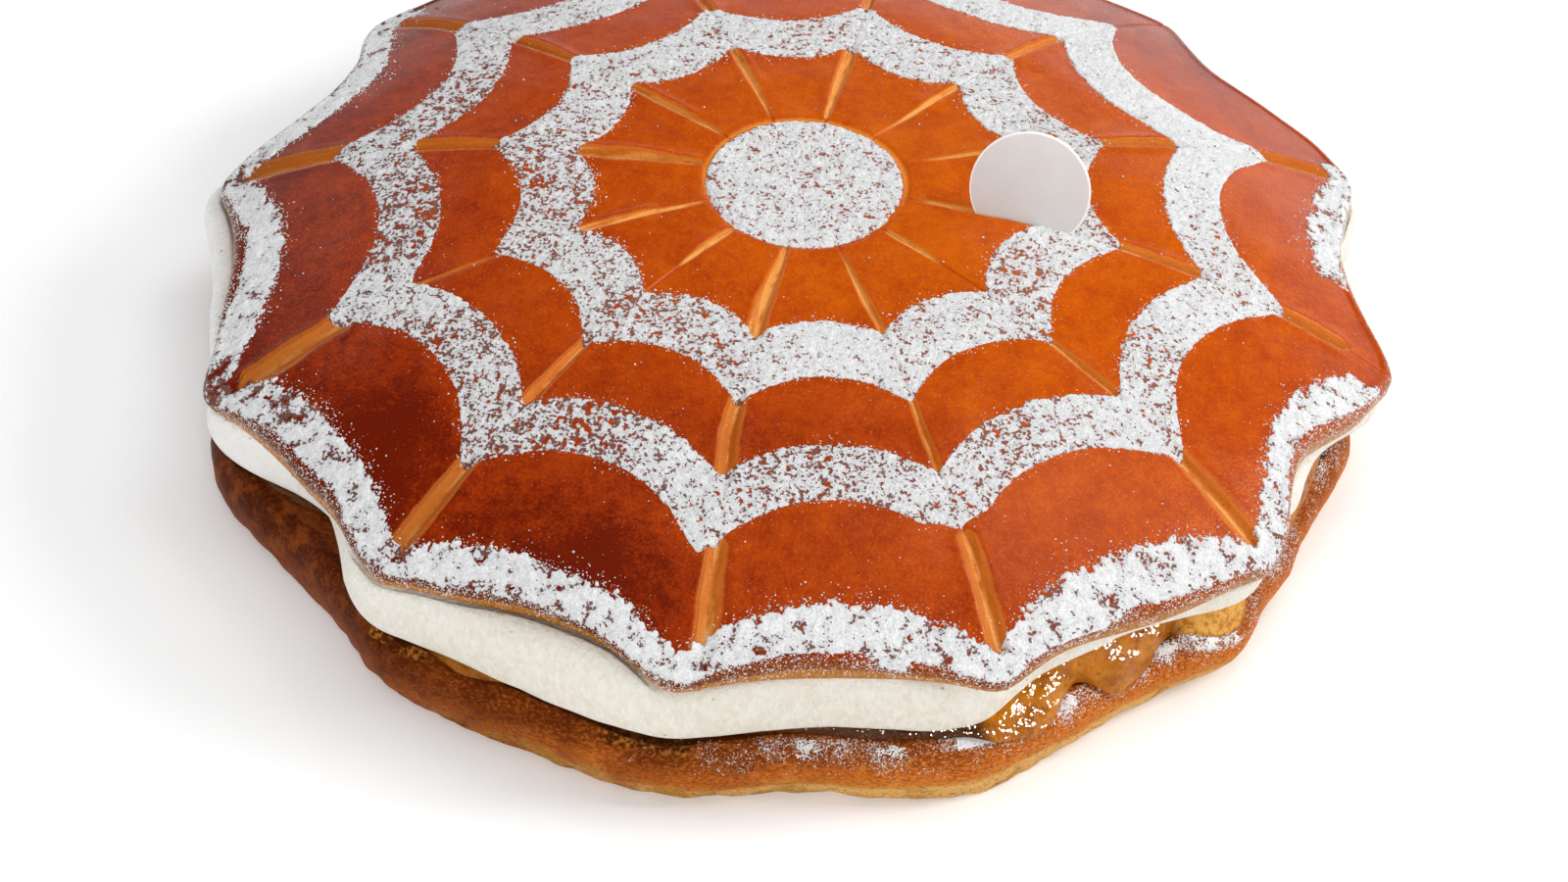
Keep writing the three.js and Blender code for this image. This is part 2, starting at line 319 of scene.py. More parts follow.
def humps(turn, swells):
    """Sum of rounded humps round the cake; each has its place in sectors, its reach and its height."""
    total = np.zeros_like(turn)
    for centre, reach, amount in swells:
        away = np.abs((turn - centre + SECTORS / 2) % SECTORS - SECTORS / 2)
        total += amount * 0.5 * (1 + np.cos(np.pi * np.minimum(away / reach, 1)))
    return total


def scallop(line, turn, power, corner):
    """Radius of a web line that is largest at the spokes and sags between them; corner rounds its tips."""
    spoke, middle = line
    away = 1 - np.abs(2 * (turn % 1) - 1)
    eased = 1 - (np.sqrt(away * away + corner * corner) - corner)
    return middle + (spoke - middle) * np.clip(eased, 0, 1) ** power


def around(turn, radius, height):
    """Points round the cake's axis; turn 0 is the front and goes towards +X."""
    angle = turn * SECTOR_ANGLE
    return np.stack((radius * np.sin(angle), -radius * np.cos(angle), height + 0 * radius), axis=-1)


def ripple(points, size, seed=0.0):
    """Smooth noise from about -1 to 1 at points in millimetres, with swells of the given size."""
    scaled = points / size + seed
    return np.array([noise.noise(point) for point in scaled.tolist()])


def ripples(points, layers):
    """Layers of smooth noise; each has the size of its swells, its seed and its height."""
    return sum(ripple(points, size, seed) * height for size, seed, height in layers)


def smooth_step(value, low, high):
    """Goes smoothly from 0 at low to 1 at high."""
    share = np.clip((value - low) / (high - low), 0, 1)
    return share * share * (3 - 2 * share)


def outward(points):
    """Level unit vectors away from the axis."""
    level = points * np.array((1.0, 1.0, 0.0))
    return level / np.maximum(np.linalg.norm(level, axis=1), 1e-6)[:, None]


def wrapped_sheet(name, columns, rows, place, values=None):
    """A grid wrapped once round the axis: place(turn, share) gives its points, values what they carry."""
    form = bmesh.new()
    bmesh.ops.create_grid(form, x_segments=columns, y_segments=rows, size=1.0)
    mesh = bpy.data.meshes.new(name)
    form.to_mesh(mesh)
    form.free()
    flat = np.empty(len(mesh.vertices) * 3)
    mesh.vertices.foreach_get("co", flat)
    turn = (flat[0::3] + 1) / 2 * SECTORS
    share = np.clip((flat[1::3] + 1) / 2, 0, 1)
    points = (place(turn, share) + np.array(GALETTE_SHIFT)) * MM
    mesh.vertices.foreach_set("co", points.astype(np.float32).ravel())
    for key, amounts in (values(turn, share) if values else {}).items():
        layer = mesh.attributes.new(key, "FLOAT", "POINT")
        layer.data.foreach_set("value", np.asarray(amounts, dtype=np.float32))
    form = bmesh.new()
    form.from_mesh(mesh)
    bmesh.ops.remove_doubles(form, verts=form.verts, dist=1e-6)
    bmesh.ops.recalc_face_normals(form, faces=form.faces)
    return mesh, form


def finished(name, mesh, form, material, node=None):
    """Writes the form to its mesh and hands it over."""
    form.to_mesh(mesh)
    form.free()
    return handed_over(name, mesh, material, node)


def handed_over(name, mesh, material, node=None):
    """Gives a mesh its finish and smooth shading, and the piece to the frame."""
    mesh.materials.append(material)
    mesh.shade_smooth()
    piece = bpy.data.objects.new(name, mesh)
    bpy.context.collection.objects.link(piece)
    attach(piece, "root")
    if node:
        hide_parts(node)
    return piece


def base_radius(turn):
    """How far out the base's side stands."""
    lean = BASE_LEAN * np.cos((turn - BASE_LEANS_TO) * SECTOR_ANGLE)
    return scallop(BASE_RIM, turn, BASE_SAG_POWER, BASE_CORNER) + lean + humps(turn, BASE_SWELLS)


def cream_radius(turn):
    """How far out the cream on the base swells; near its foot shade is painted on the base's top."""
    return scallop(CREAM_RIM, turn, WEB_SAG_POWER, CREAM_CORNER) + humps(turn, CREAM_SWELLS)


def leg_of(share, path):
    """How many legs of a section's path are passed at a share of its rows."""
    return np.interp(share, path, np.arange(len(path)))


def base_tear(turn, leg):
    """How far the crust is torn open near the rim."""
    return humps(turn, BASE_TEARS) * smooth_step(leg, 0.8, 1.05) * (1 - smooth_step(leg, 1.4, 1.75))


def base_profile(turn, leg):
    """Radius and height of the base's smooth form: its cut top, shoulder, side and foot, a leg each."""
    rim = base_radius(turn)
    foot = BASE_FOOT_INSET + humps(turn, BASE_FOOT_TUCKS)
    inward = np.clip(leg, 0, 1)
    arc = np.clip(leg - 1, 0, 1) * np.pi / 2
    drop = np.clip(leg - 2, 0, 1)
    under = np.clip(leg - 3, 0, 1)
    radius = (rim - BASE_SHOULDER) * inward ** 0.3
    radius = np.where(leg > 1, rim - BASE_SHOULDER * (1 - np.sin(arc)), radius)
    radius = np.where(leg > 2, rim - foot * drop ** 2.2, radius)
    radius = np.where(leg > 3, (rim - foot) * (1 - under), radius)
    height = BASE_HEIGHT - BASE_SHOULDER_DROP * (1 - np.cos(arc))
    height = height - (BASE_HEIGHT - BASE_SHOULDER_DROP) * drop
    return radius, height


def base_place(turn, share):
    """The base's skin from the middle of its cut top, over the shoulder, to the middle of its foot."""
    leg = leg_of(share, BASE_PATH)
    rim = base_radius(turn)
    radius, height = base_profile(turn, leg)
    points = around(turn, radius, height)
    side = smooth_step(leg, 0.9, 1.3) * (1 - smooth_step(leg, 2.9, 3.0))
    broad = ripples(points, BASE_LUMPS)
    fine = ripples(points, BASE_GRAIN)
    crumb = base_tear(turn, leg) * np.abs(ripple(points, TORN_CRUMB_SIZE, 2.0)) * TORN_CRUMB_DEPTH
    at_foot = smooth_step(leg, 2.5, 2.95) * (1 - smooth_step(leg, 3.0, 3.1))
    ragged = ripples(points, RAGGED_FOOT) * at_foot
    moved = points + outward(points) * (side * (broad + fine) - crumb * 0.7 + ragged)[:, None]
    from_rim = rim - radius
    on_wedge = smooth_step(from_rim, *WEDGE_CLIMB) * (1 - smooth_step(from_rim, *WEDGE_END))
    slope = CRUMB_RISE * humps(turn, CRUMB_WEDGE) * on_wedge
    waves = broad * 0.45 * (1 - smooth_step(leg, 1.6, 2.6))
    lift = waves + ripples(points, CUT_TOP_PORES) * (1 - smooth_step(leg, 0.9, 1.1))
    moved[:, 2] += smooth_step(leg, 0.5, 1.0) * (lift - crumb * 0.5) * (leg < 2.7) + slope * (leg < 2)
    return moved


def base_dusted(turn, leg):
    """How thickly sugar that fell past the lid lies on the shoulder, with a denser line near its brink."""
    leg = leg - 0.5 * humps(turn, CRUMB_WEDGE)
    veil = humps(turn, BASE_DUST) * smooth_step(leg, 1.06, 1.26) * (1 - smooth_step(leg, 1.35, 2.1))
    line = humps(turn, BASE_DUST_LINES) * smooth_step(leg, 0.98, 1.06) * (1 - smooth_step(leg, 1.26, 1.46))
    return veil + line


def base_values(turn, share):
    """What the base's finish reads off its points."""
    leg = leg_of(share, BASE_PATH)
    radius = base_profile(turn, leg)[0]
    overhang = np.maximum(cream_radius(turn) - base_radius(turn), 0)
    shade_edge = cream_radius(turn) - SHADE_INSET - SHADE_OF_OVERHANG * overhang + humps(turn, DEEP_SHADE)
    return {
        "torn": base_tear(turn, leg),
        "cut_top": 1 - smooth_step(leg - 0.5 * humps(turn, CRUMB_WEDGE), 0.95, 1.06),
        "crumb_seen": np.clip(humps(turn, CRUMB_WEDGE) * 3, 0, 1),
        "dusted": base_dusted(turn, leg),
        "pale_foot": humps(turn, PALE_FOOT),
        # Painted shade: the dark band on the base's top near the cream's foot.
        "shaded": (1 - smooth_step(radius - shade_edge, -SHADE_FADE, 0.0)) * (leg < 2),
    }


base_material, wire, shader = finish_of(
    "baked_brioche_side", Specular_IOR_Level=0.12, Specular_Tint=colour(1.0, 0.5, 0.2)
)
mottle = wire.grain(9.0, 4.0, 0.6)
fibre = wire.grain(1.0, 3.0, 0.7, stretch=(1.0, 1.0, 2.2))
leftward = (wire.place(0) * -0.006 + (mottle - 0.5) * 0.8).step(-0.35, 0.6)
upper = leftward.blend(colour(0.25, 0.042, 0.003), colour(0.08, 0.011, 0.001))
middle = leftward.blend(colour(0.54, 0.125, 0.010), colour(0.15, 0.024, 0.002))
lower = leftward.blend(colour(0.60, 0.21, 0.03), colour(0.24, 0.052, 0.005))
pale = mottle.step(0.4, 0.56).blend(colour(0.42, 0.23, 0.03), colour(0.74, 0.46, 0.15))
uneven = (mottle - 0.5) * 4.0 + (fibre - 0.5) * 3.0
rise = wire.place(2) + uneven + leftward * 1.5 - wire.carried("pale_foot") * 2.6
skin = rise.step(6.5, 11.5).blend(middle, upper)
skin = rise.step(3.4, 7.0).blend(lower, skin)
skin = rise.step(2.8, 4.2).blend(leftward.step(0.2, 0.75).blend(pale, lower), skin)
golden_fibre = leftward.blend(colour(0.70, 0.26, 0.05), colour(0.30, 0.07, 0.01))
skin = (fibre.step(0.48, 0.64) * (0.7 - leftward * 0.4)).blend(skin, golden_fibre)
dark_fibre = leftward.blend(colour(0.22, 0.034, 0.003), colour(0.04, 0.005, 0.001))
skin = ((1 - fibre.step(0.36, 0.5)) * 0.75).blend(skin, dark_fibre)
blotch = wire.grain(5.0, 3.0, 0.6, 21.0)
skin = (blotch.step(0.5, 0.66) * leftward * 0.6).blend(skin, colour(0.27, 0.062, 0.007))
skin = ((1 - blotch.step(0.34, 0.46)) * leftward * 0.5).blend(skin, colour(0.05, 0.008, 0.001))
crumb_hole = wire.grain(1.3, 3.0, 0.6, 5.0)
crumb_tone = crumb_hole.step(0.42, 0.6).blend(colour(0.10, 0.022, 0.004), colour(0.48, 0.16, 0.024))
torn = (wire.carried("torn") + (wire.grain(2.5, 2.0, 0.5, 7.0) - 0.5) * 0.9).step(0.4, 0.6)
skin = torn.blend(skin, crumb_tone)
open_crumb = crumb_hole.step(0.3, 0.6).blend(colour(0.52, 0.19, 0.025), colour(0.82, 0.43, 0.10))
crumb_seen = wire.carried("crumb_seen")
# Where no crumb is seen, the cut top is painted dark brown: crust colour, darkened as painted shade under
# the cream.
top_crust_and_shade = crumb_hole.step(0.3, 0.7).blend(colour(0.16, 0.03, 0.005), colour(0.27, 0.06, 0.009))
skin = wire.carried("cut_top").blend(skin, crumb_seen.blend(top_crust_and_shade, open_crumb))
# Painted shade: a near-black band on the base's top just outside the cream's foot.
painted_shade_under_cream = (wire.carried("shaded") + (mottle - 0.5) * 0.5 + (crumb_hole - 0.5) * 0.6).step(0.4, 0.65)
skin = (painted_shade_under_cream * (1 - crumb_seen) * 0.85).blend(skin, colour(0.028, 0.006, 0.001))
dust_grain = wire.grain(0.42, 2.0, 0.6, 12.0)
dust_patch = (wire.grain(3.0, 3.0, 0.6, 14.0) - 0.5) * 0.9
dust = (dust_grain + wire.carried("dusted") * (0.26 + dust_patch) - 0.14).step(0.6, 0.66)
skin = dust.blend(skin, colour(0.94, 0.93, 0.92))
relief = mottle * 1.2 + fibre * 1.1 + crumb_hole * (torn + wire.carried("cut_top")) * 3.0 + dust * 0.4
feed(
    wire,
    shader,
    Base_Color=skin,
    Roughness=0.4 + fibre * 0.3 + torn * 0.3 + dust * 0.3,
    Normal=wire.bump(relief, 0.4),
)
base_mesh, base_form = wrapped_sheet("brioche_base_crust", BASE_COLUMNS, BASE_ROWS, base_place, base_values)
finished("brioche_base_crust", base_mesh, base_form, base_material, "brioche_base")

# Praline
# A glossy nut caramel with fine bits of nut in it, spread thinly over the whole of the cut base.
# Pressed by what lies above, it oozes out over the rim in wet lumps, most of it at the front right.
# A lamp that lights this piece alone gives it its highlights.
LAYER_GAP = 0.35
PRALINE_THICKNESS = 1.8
PRALINE_INNER = 95.0
OOZE_RISE = 7.2
OOZE_DROP = 4.2
OOZE_MOST = 1.15
OOZE_LEAST = -1.3
OOZE_WAVES = ((1.0, 0.5, 0.16),)
PRALINE_COLUMNS = 1100
PRALINE_ROWS = 56
PRALINE_PATH = (0.0, 0.25, 0.8, 1.0)
PRALINE_PROUD = 0.3
PRALINE_SHELTER = 4.0
SHOULDER_END = 0.4
FRONT_BULGE = 0.5
OOZE_BULGE = 1.2
PRALINE_LUMPS = ((5.0, 1.2, 1.0), (2.4, 4.4, 0.6))
# Where a little less of the painted shade falls on the praline at the front.
FRONT_LESS_PAINTED_SHADE = ((11.3, 0.3, 0.03),)
OOZES = (
    (1.28, 0.34, 0.8),
    (1.44, 0.3, 0.35),
    (1.63, 0.4, 0.8),
    (1.92, 0.26, 0.3),
    (2.12, 0.32, 1.4),
    (2.6, 0.5, 0.6),
)
OOZE_EDGE = (
    (1.05, 0.16, 0.6),
    (1.19, 0.15, 0.85),
    (1.48, 0.15, 0.95),
    (1.6, 0.1, 0.5),
    (1.95, 0.3, -1.5),
    (2.5, 0.42, 0.55),
    (6.4, 0.6, 0.4),
    (8.3, 0.5, 0.35),
    (10.6, 0.45, -1.3),
    (11.3, 0.18, 0.3),
)


def ooze(turn):
    """How far the praline runs out over the base's shoulder, from 0 at its brink to 1 at its side."""
    line = np.stack((turn * 3.0, 0 * turn, 0 * turn), axis=-1)
    return np.clip(0.1 + humps(turn, OOZE_EDGE) + ripples(line, OOZE_WAVES), OOZE_LEAST, OOZE_MOST)


def praline_edge(turn):
    """Radius of the praline's lowest edge on the base's shoulder."""
    return base_radius(turn) - BASE_SHOULDER + (BASE_SHOULDER - SHOULDER_END) * ooze(turn) + PRALINE_PROUD


def praline_top(turn, share):
    """Radius and height of the praline's upper face, which climbs outwards where it is squeezed out."""
    sheltered = np.minimum(cream_radius(turn), base_radius(turn)) - PRALINE_SHELTER
    shoulder = np.minimum(sheltered, praline_edge(turn) - SHOULDER_END)
    radius = PRALINE_INNER + (shoulder - PRALINE_INNER) * share
    rise = OOZE_RISE * humps(turn, OOZES) * share ** 2
    return radius, BASE_HEIGHT + LAYER_GAP + PRALINE_THICKNESS + rise


def praline_place(turn, share):
    """From the middle over the top, down the glossy front and back under it to the middle."""
    leg = leg_of(share, PRALINE_PATH)
    amount = np.clip(ooze(turn), 0, OOZE_MOST)
    top = np.clip(leg, 0, 1)
    front = np.clip(leg - 1, 0, 1)
    under = np.clip(leg - 2, 0, 1)
    radius, height = praline_top(turn, top)
    edge_radius = praline_edge(turn)
    edge_height = BASE_HEIGHT + LAYER_GAP - OOZE_DROP * amount ** 2
    bulge = np.sin(front * np.pi) * (FRONT_BULGE + OOZE_BULGE * amount)
    radius = np.where(leg > 1, radius + (edge_radius - radius) * front ** 0.8 + bulge * 0.7, radius)
    height = np.where(leg > 1, height + (edge_height - height) * front ** 1.4 + bulge * 0.4, height)
    radius = np.where(leg > 2, edge_radius + (PRALINE_INNER - edge_radius) * under, radius)
    height = np.where(leg > 2, edge_height + (BASE_HEIGHT + LAYER_GAP - edge_height) * under ** 0.3, height)
    at_axis = (share <= 0) | (share >= 1)
    points = around(turn, np.where(at_axis, 0, radius), height)
    lumped = smooth_step(leg, 0.5, 1.0) * (1 - smooth_step(leg, 1.75, 2.0)) * (0.35 + amount)
    lumps = ripples(points, PRALINE_LUMPS) * lumped
    points[:, 2] += lumps
    return points + outward(points) * (lumps * 0.6)[:, None]


def praline_values(turn, share):
    """Where the praline is squeezed out into the light; elsewhere it is painted nearly black as shade under
    the cream.
    """
    return {"squeezed": smooth_step(humps(turn, OOZES) + humps(turn, FRONT_LESS_PAINTED_SHADE), -0.01, 0.06)}


praline_material, wire, shader = finish_of(
    "nut_caramel", Specular_IOR_Level=0.2, Specular_Tint=colour(1.0, 0.95, 0.86)
)
nut = wire.grain(1.3, 3.0, 0.6, 1.0)
cloud = wire.grain(6.0, 2.0, 0.5, 3.0)
wet = wire.grain(1.9, 1.5, 0.5, 5.0) * 1.3 + wire.grain(0.8, 1.0, 0.5, 7.0) * 0.3
sauce = cloud.step(0.3, 0.7).blend(colour(0.34, 0.095, 0.002), colour(0.54, 0.18, 0.004))
sauce = (nut.step(0.56, 0.72) * 0.7).blend(sauce, colour(0.60, 0.23, 0.015))
sauce = ((1 - nut.step(0.3, 0.42)) * 0.6).blend(sauce, colour(0.16, 0.036, 0.001))
# Painted shade: where the praline is not squeezed out, it is painted nearly black, as the shade under the
# cream.
sauce = wire.carried("squeezed").blend(colour(0.05, 0.011, 0.001), sauce)
feed(wire, shader, Base_Color=sauce, Roughness=0.05 + nut * 0.06, Normal=wire.bump(wet, 0.9))
praline_mesh, praline_form = wrapped_sheet(
    "praline_spread", PRALINE_COLUMNS, PRALINE_ROWS, praline_place, praline_values
)
praline = finished(
    "praline_spread", praline_mesh, praline_form, praline_material, "praline_layer"
)
wet_pieces = bpy.data.collections.new("wet_pieces")
wet_pieces.objects.link(praline)
gloss_light = soft_light("gloss_light", (1.3, -0.3, 0.9), (1.3, 0.7), 820.0, scattered=False)
gloss_light.light_linking.receiver_collection = wet_pieces

# Cream
# A thick bed of vanilla cream, piped and pressed by the lid, so its side bulges and swells unevenly.
# It is smooth and off-white with fine air pores, and sags a little over the base's rim.
# The lid seats on it, so the lid's outline and underside, which shape its top, are worked out here.
CREAM_GAP = 0.65
CREAM_TOP_SHARE = 0.85
CREAM_SAG = 1.1
CREAM_TOP_INSET = 2.4
CREAM_COLUMNS = 1000
CREAM_ROWS = 72
CREAM_PATH = (0.0, 0.08, 0.9, 1.0)
CREAM_TUCK = 4.2
CREAM_TUCK_SHARE = 0.4
CREAM_LEAST_HEIGHT = 2.0
CREAM_UNDER_LID = 0.8
CREAM_TOP_ROUND = 1.9
WELT_SHARE = 0.4
WELT_FROM = 1.0
WELT_MOST = 4.0
CREAM_FOLDS = ((16.0, 6.3, 0.7), (6.0, 2.9, 0.22))
CREAM_DENTS = ((1.6, 4.7, 0.05),)
CREAM_LYING = (1.0, 1.0, 2.2)
LID_SEAT_HEIGHT = 27.0
LID_SLIDE = -0.75
LID_TILT = math.radians(1.86)
LID_FLAT = (108.0, 104.0)
DOME_HEIGHT = 31.4
DOME_DROP = 28.0
LIP_THICKNESS = 3.4
LIP_BULGE = 1.6
LIP_DROOP = 2.8
LIP_UNEVEN = ((13.0, 9.0, 0.9),)
LIP_MIDDLE = 125.0
LIP = (130.0, 122.6)
LIP_CORNER = 0.1
LID_SWELLS = (
    (1.62, 0.42, 3.2),
    (11.65, 0.45, -3.0),
    (10.2, 0.9, 2.4),
    (9.4, 0.4, -2.6),
    (2.43, 0.36, -6.0),
    (8.47, 0.52, -10.0),
    (3.52, 0.46, -8.0),
    (3.26, 0.26, -3.2),
    (4.61, 0.46, -10.8),
    (5.3, 0.7, -3.6),
)


def web_radius(line, turn, corner=0.03):
    """Radius of one line of the lid's web, which follows the swells of its rim more the nearer it is."""
    radius = scallop(line, turn, WEB_SAG_POWER, corner)
    return radius + humps(turn, LID_SWELLS) * (radius / LIP[0]) ** 6


def dome(radius):
    """Height of the smooth dome in the lid's frame."""
    return DOME_HEIGHT - DOME_DROP * (radius / LIP[0]) ** 3


def between(turn):
    """0 at the spokes and 1 midway between them."""
    return np.sin(np.pi * (turn % 1)) ** 1.4


def lid_edge(turn):
    """The lid's outline, a little uneven from the oven."""
    uneven = ripples(around(turn, LIP_MIDDLE + 0 * turn, 0.0), LIP_UNEVEN)
    return web_radius(LIP, turn, LIP_CORNER) + LIP_BULGE * between(turn) + uneven


def lid_underside(turn, share):
    """Radius and height, in the lid's frame, of the face that rises from its flat cut to the lip."""
    lip = web_radius(LIP, turn, LIP_CORNER)
    flat = web_radius(LID_FLAT, turn, LIP_CORNER)
    droop = LIP_DROOP * between(turn) * share ** 2
    reach = lip + (LIP_BULGE * between(turn) - 1) * share
    return flat + (reach - flat) * share, (dome(lip) - LIP_THICKNESS) * share - droop


def cream_levels(turn):
    """Heights of the cream's foot on the praline and of its roof under the lid."""
    sag = CREAM_SAG * (1 - np.clip(humps(turn, OOZES) * 1.6, 0, 1))
    foot = praline_top(turn, 1 + 0 * turn)[1] + CREAM_GAP - sag
    roof = lid_underside(turn, CREAM_TOP_SHARE + 0 * turn)[1]
    tipped = np.tan(LID_TILT) * cream_radius(turn) * np.cos(turn * SECTOR_ANGLE)
    return foot, LID_SEAT_HEIGHT + roof + tipped - CREAM_GAP


def cream_side(turn, up, tuck):
    """How far the cream's side lies inside its rim, and the welt that rises where it passes the lid."""
    rim = cream_radius(turn)
    past_lip = rim - lid_underside(turn, 1 + 0 * turn)[0]
    foot_inset = (1 - np.sin(np.clip(up * 1.04 - 0.02, 0, 1) * np.pi) ** 0.5) * tuck
    top_inset = np.maximum(CREAM_TOP_INSET, past_lip + CREAM_UNDER_LID)
    inset = np.where(up > 0.5, top_inset * (1 - np.sin(up * np.pi)) ** CREAM_TOP_ROUND, foot_inset)
    proud = np.clip(past_lip - WELT_FROM, 0, WELT_MOST)
    past_lid = smooth_step(rim - inset - lid_edge(turn), -0.2, 0.6)
    return inset, WELT_SHARE * proud * smooth_step(up, 0.45, 0.8) * past_lid


def cream_place(turn, share):
    """From the middle of its foot out to the swollen side, up it, and in under the lid."""
    leg = leg_of(share, CREAM_PATH)
    inner = np.clip(leg, 0, 1)
    up = np.clip(leg - 1, 0, 1)
    top = np.clip(leg - 2, 0, 1)
    foot, roof = cream_levels(turn)
    tall = np.maximum(roof - foot, CREAM_LEAST_HEIGHT)
    tuck = np.minimum(CREAM_TUCK, tall * CREAM_TUCK_SHARE)
    inset, welt = cream_side(turn, up, tuck)
    rim = cream_radius(turn)
    foot_radius = np.minimum(praline_top(turn, 1 + 0 * turn)[0], rim - tuck)
    radius = np.where(leg > 1, rim - inset, foot_radius * inner ** 0.4)
    flat_foot = BASE_HEIGHT + LAYER_GAP + PRALINE_THICKNESS + CREAM_GAP
    foot_height = flat_foot + (foot - flat_foot) * smooth_step(inner, 0.6, 1.0)
    side_height = foot + tall * (0.5 - 0.5 * np.cos(up * np.pi)) ** 0.9 + welt
    height = np.where(leg > 1, side_height, foot_height)
    ledge = np.clip(top * 3, 0, 1)
    inward = np.clip(top * 3 - 1, 0, 1)
    inmost = np.clip(top * 3 - 2, 0, 1)
    roof_radius = lid_underside(turn, CREAM_TOP_SHARE + 0 * turn)[0]
    under_lip = rim - inset + (np.minimum(rim - inset, roof_radius) - rim + inset) * ledge
    seat = web_radius(LID_FLAT, turn, LIP_CORNER) * (1 - inmost)
    seat_height = LID_SEAT_HEIGHT + np.tan(LID_TILT) * seat * np.cos(turn * SECTOR_ANGLE) - CREAM_GAP
    radius = np.where(leg > 2, under_lip + (seat - under_lip) * inward, radius)
    height = np.where(leg > 2, roof + (seat_height - roof) * inward, height)
    points = around(turn, radius, height)
    side = np.sin(up * np.pi) ** 0.6
    folds = ripples(points * np.array(CREAM_LYING), CREAM_FOLDS)
    dents = ripples(points, CREAM_DENTS)
    return points + outward(points) * ((folds + dents) * side)[:, None]


cream_material, wire, shader = finish_of(
    "vanilla_cream", Roughness=0.6, Specular_IOR_Level=0.25, Subsurface_Weight=0.2, Subsurface_Scale=0.003
)
shader.inputs["Subsurface Radius"].default_value = (1.0, 0.7, 0.45)
pores = wire.grain(0.6, 3.0, 0.7, 4.0)
clouds = wire.grain(5.0, 3.0, 0.55, 9.0)
pit = wire.grain(2.1, 1.0, 0.5, 11.0).step(0.77, 0.8)
curd = wire.grain(1.25, 3.0, 0.65, stretch=(1.0, 1.0, 0.5))
cream_tone = clouds.step(0.3, 0.7).blend(colour(0.80, 0.73, 0.60), colour(0.86, 0.81, 0.70))
cream_tone = (curd.step(0.4, 0.62) * 0.6).blend(cream_tone, colour(0.94, 0.91, 0.85))
# Painted light: the cream is made whiter towards the left, as if a fill light lit that side.
cream_tone = (wire.place(0) * -1.0).step(40.0, 125.0).blend(cream_tone, colour(0.95, 0.94, 0.92))
# Painted light: its upper part is made lighter, against the shade under the lid's lip.
cream_tone = (wire.place(2).step(20.0, 28.0) * 0.25).blend(cream_tone, colour(0.96, 0.94, 0.88))
# Painted shade: small pits are darkened in colour as well as sunk.
cream_tone = pit.blend(cream_tone, colour(0.52, 0.44, 0.3))
relief = pores * 0.9 + curd * 2.0 + clouds * 1.2 - pit * 0.8
feed(wire, shader, Base_Color=cream_tone, Normal=wire.bump(relief, 0.5))
cream_mesh, cream_form = wrapped_sheet("cream_bed", CREAM_COLUMNS, CREAM_ROWS, cream_place)
finished("cream_bed", cream_mesh, cream_form, cream_material, "cream_layer")

# Lid crust
# The upper half of the brioche: a domed crust, egg-washed and baked glossy brown, darker to one side.
# Twelve blade cuts run from the middle to the tips and have opened in the oven, showing pale golden crumb.
# It rests on the cream, tipped up a little at the front.
DISC_GROOVE = 21.6
GROOVE_HALF = 0.9
GROOVE_DEPTH = 0.6
FRONT_OF_RING = ((0.5, 3.6, 1.4),)
CUT_REACHES = ((22.0, 53.0), (65.5, 90.0), (100.5, 126.5))
# One row for each spoke: how wide its inner, middle and outer cuts have opened.
CUT_WIDTHS = np.array(
    (
        (3.6, 3.8, 4.3),
        (1.7, 1.8, 4.0),
        (1.5, 2.0, 4.4),
        (2.0, 2.6, 3.2),
        (1.6, 2.8, 4.0),
        (1.8, 2.6, 0.6),
        (2.8, 2.6, 3.8),
        (1.9, 2.6, 4.0),
        (2.1, 2.8, 4.4),
        (3.8, 4.0, 5.4),
        (2.0, 1.2, 6.0),
        (1.8, 2.8, 4.2),
    )
)
# How far some spokes' cuts drift aside at these radii.
CUT_SHIFT_RADII = (38.0, 78.0, 104.0, 122.0)
CUT_SHIFTS = {
    0: (0.0, 0.3, 3.6, 6.0),
    1: (0.0, 0.0, 1.3, 0.5),
    10: (0.6, 1.8, 2.6, 4.6),
    11: (0.0, 0.3, 0.5, 0.5),
}
CUT_OPENINGS = (0.5, 0.75, 0.85)
CUT_WANDER = ((24.0, 0.3, 0.8),)
CUT_RAGGED = ((5.0, 7.7, 0.14),)
SPOKE_APART = 37.0
FADING_CUTS = (2, 11)
SHORT_CUT = 3
SHORTER_BY = 6.5
# Which flank of each spoke's cuts is painted lighter, as the flank the light falls on; the other flank is
# painted darker as shade.
CUT_LIT_SIDES = np.array((-1, -1, -1, -1, -1, 1, 1, 1, 1, 1, -1, -1))
CREASE_WIDTH = 0.8
CUT_DEPTH = 1.6
CREASE_DEPTH = 0.4
DEEP_FROM_WIDTH = 3.5
BRINK_HEIGHT = 0.25
BRINK_AWAY = 0.8
CRUST_WAVES = ((38.0, 1.7, 0.8), (10.0, 4.1, 0.22), (3.0, 6.4, 0.035))
WAVES_GROW = (5.0, 30.0)
LIP_ROUND = 2.4
LIP_FACE = 1.3
COLUMNS_PER_SECTOR = 34
LID_ROWS = 222
EVEN_SPREAD = 0.16
LIP_TUCK = 0.6
LIP_LOWER_BULGE = 0.3
LID_PATH = (0.0, 0.86, 0.93, 0.95, 1.0)
FRONT_BROWN = ((0.3, 1.6, 0.22),)
FRONT_BROWN_SPAN = (76.0, 16.0)
DARK_PANEL_SPAN = (110.0, 14.0)
DARK_PANELS = ((4.7, 1.0, 0.3), (11.3, 0.34, 0.12), (11.68, 0.4, 0.36), (10.7, 0.45, 0.3))


def nearest_spoke(turn):
    return np.round(turn).astype(int) % SECTORS


def along_cut(turn, radius):
    """Points along the blade cuts, each cut set apart so that noise differs from one to the next."""
    return np.stack((radius, nearest_spoke(turn) * SPOKE_APART, 0 * radius), axis=-1)


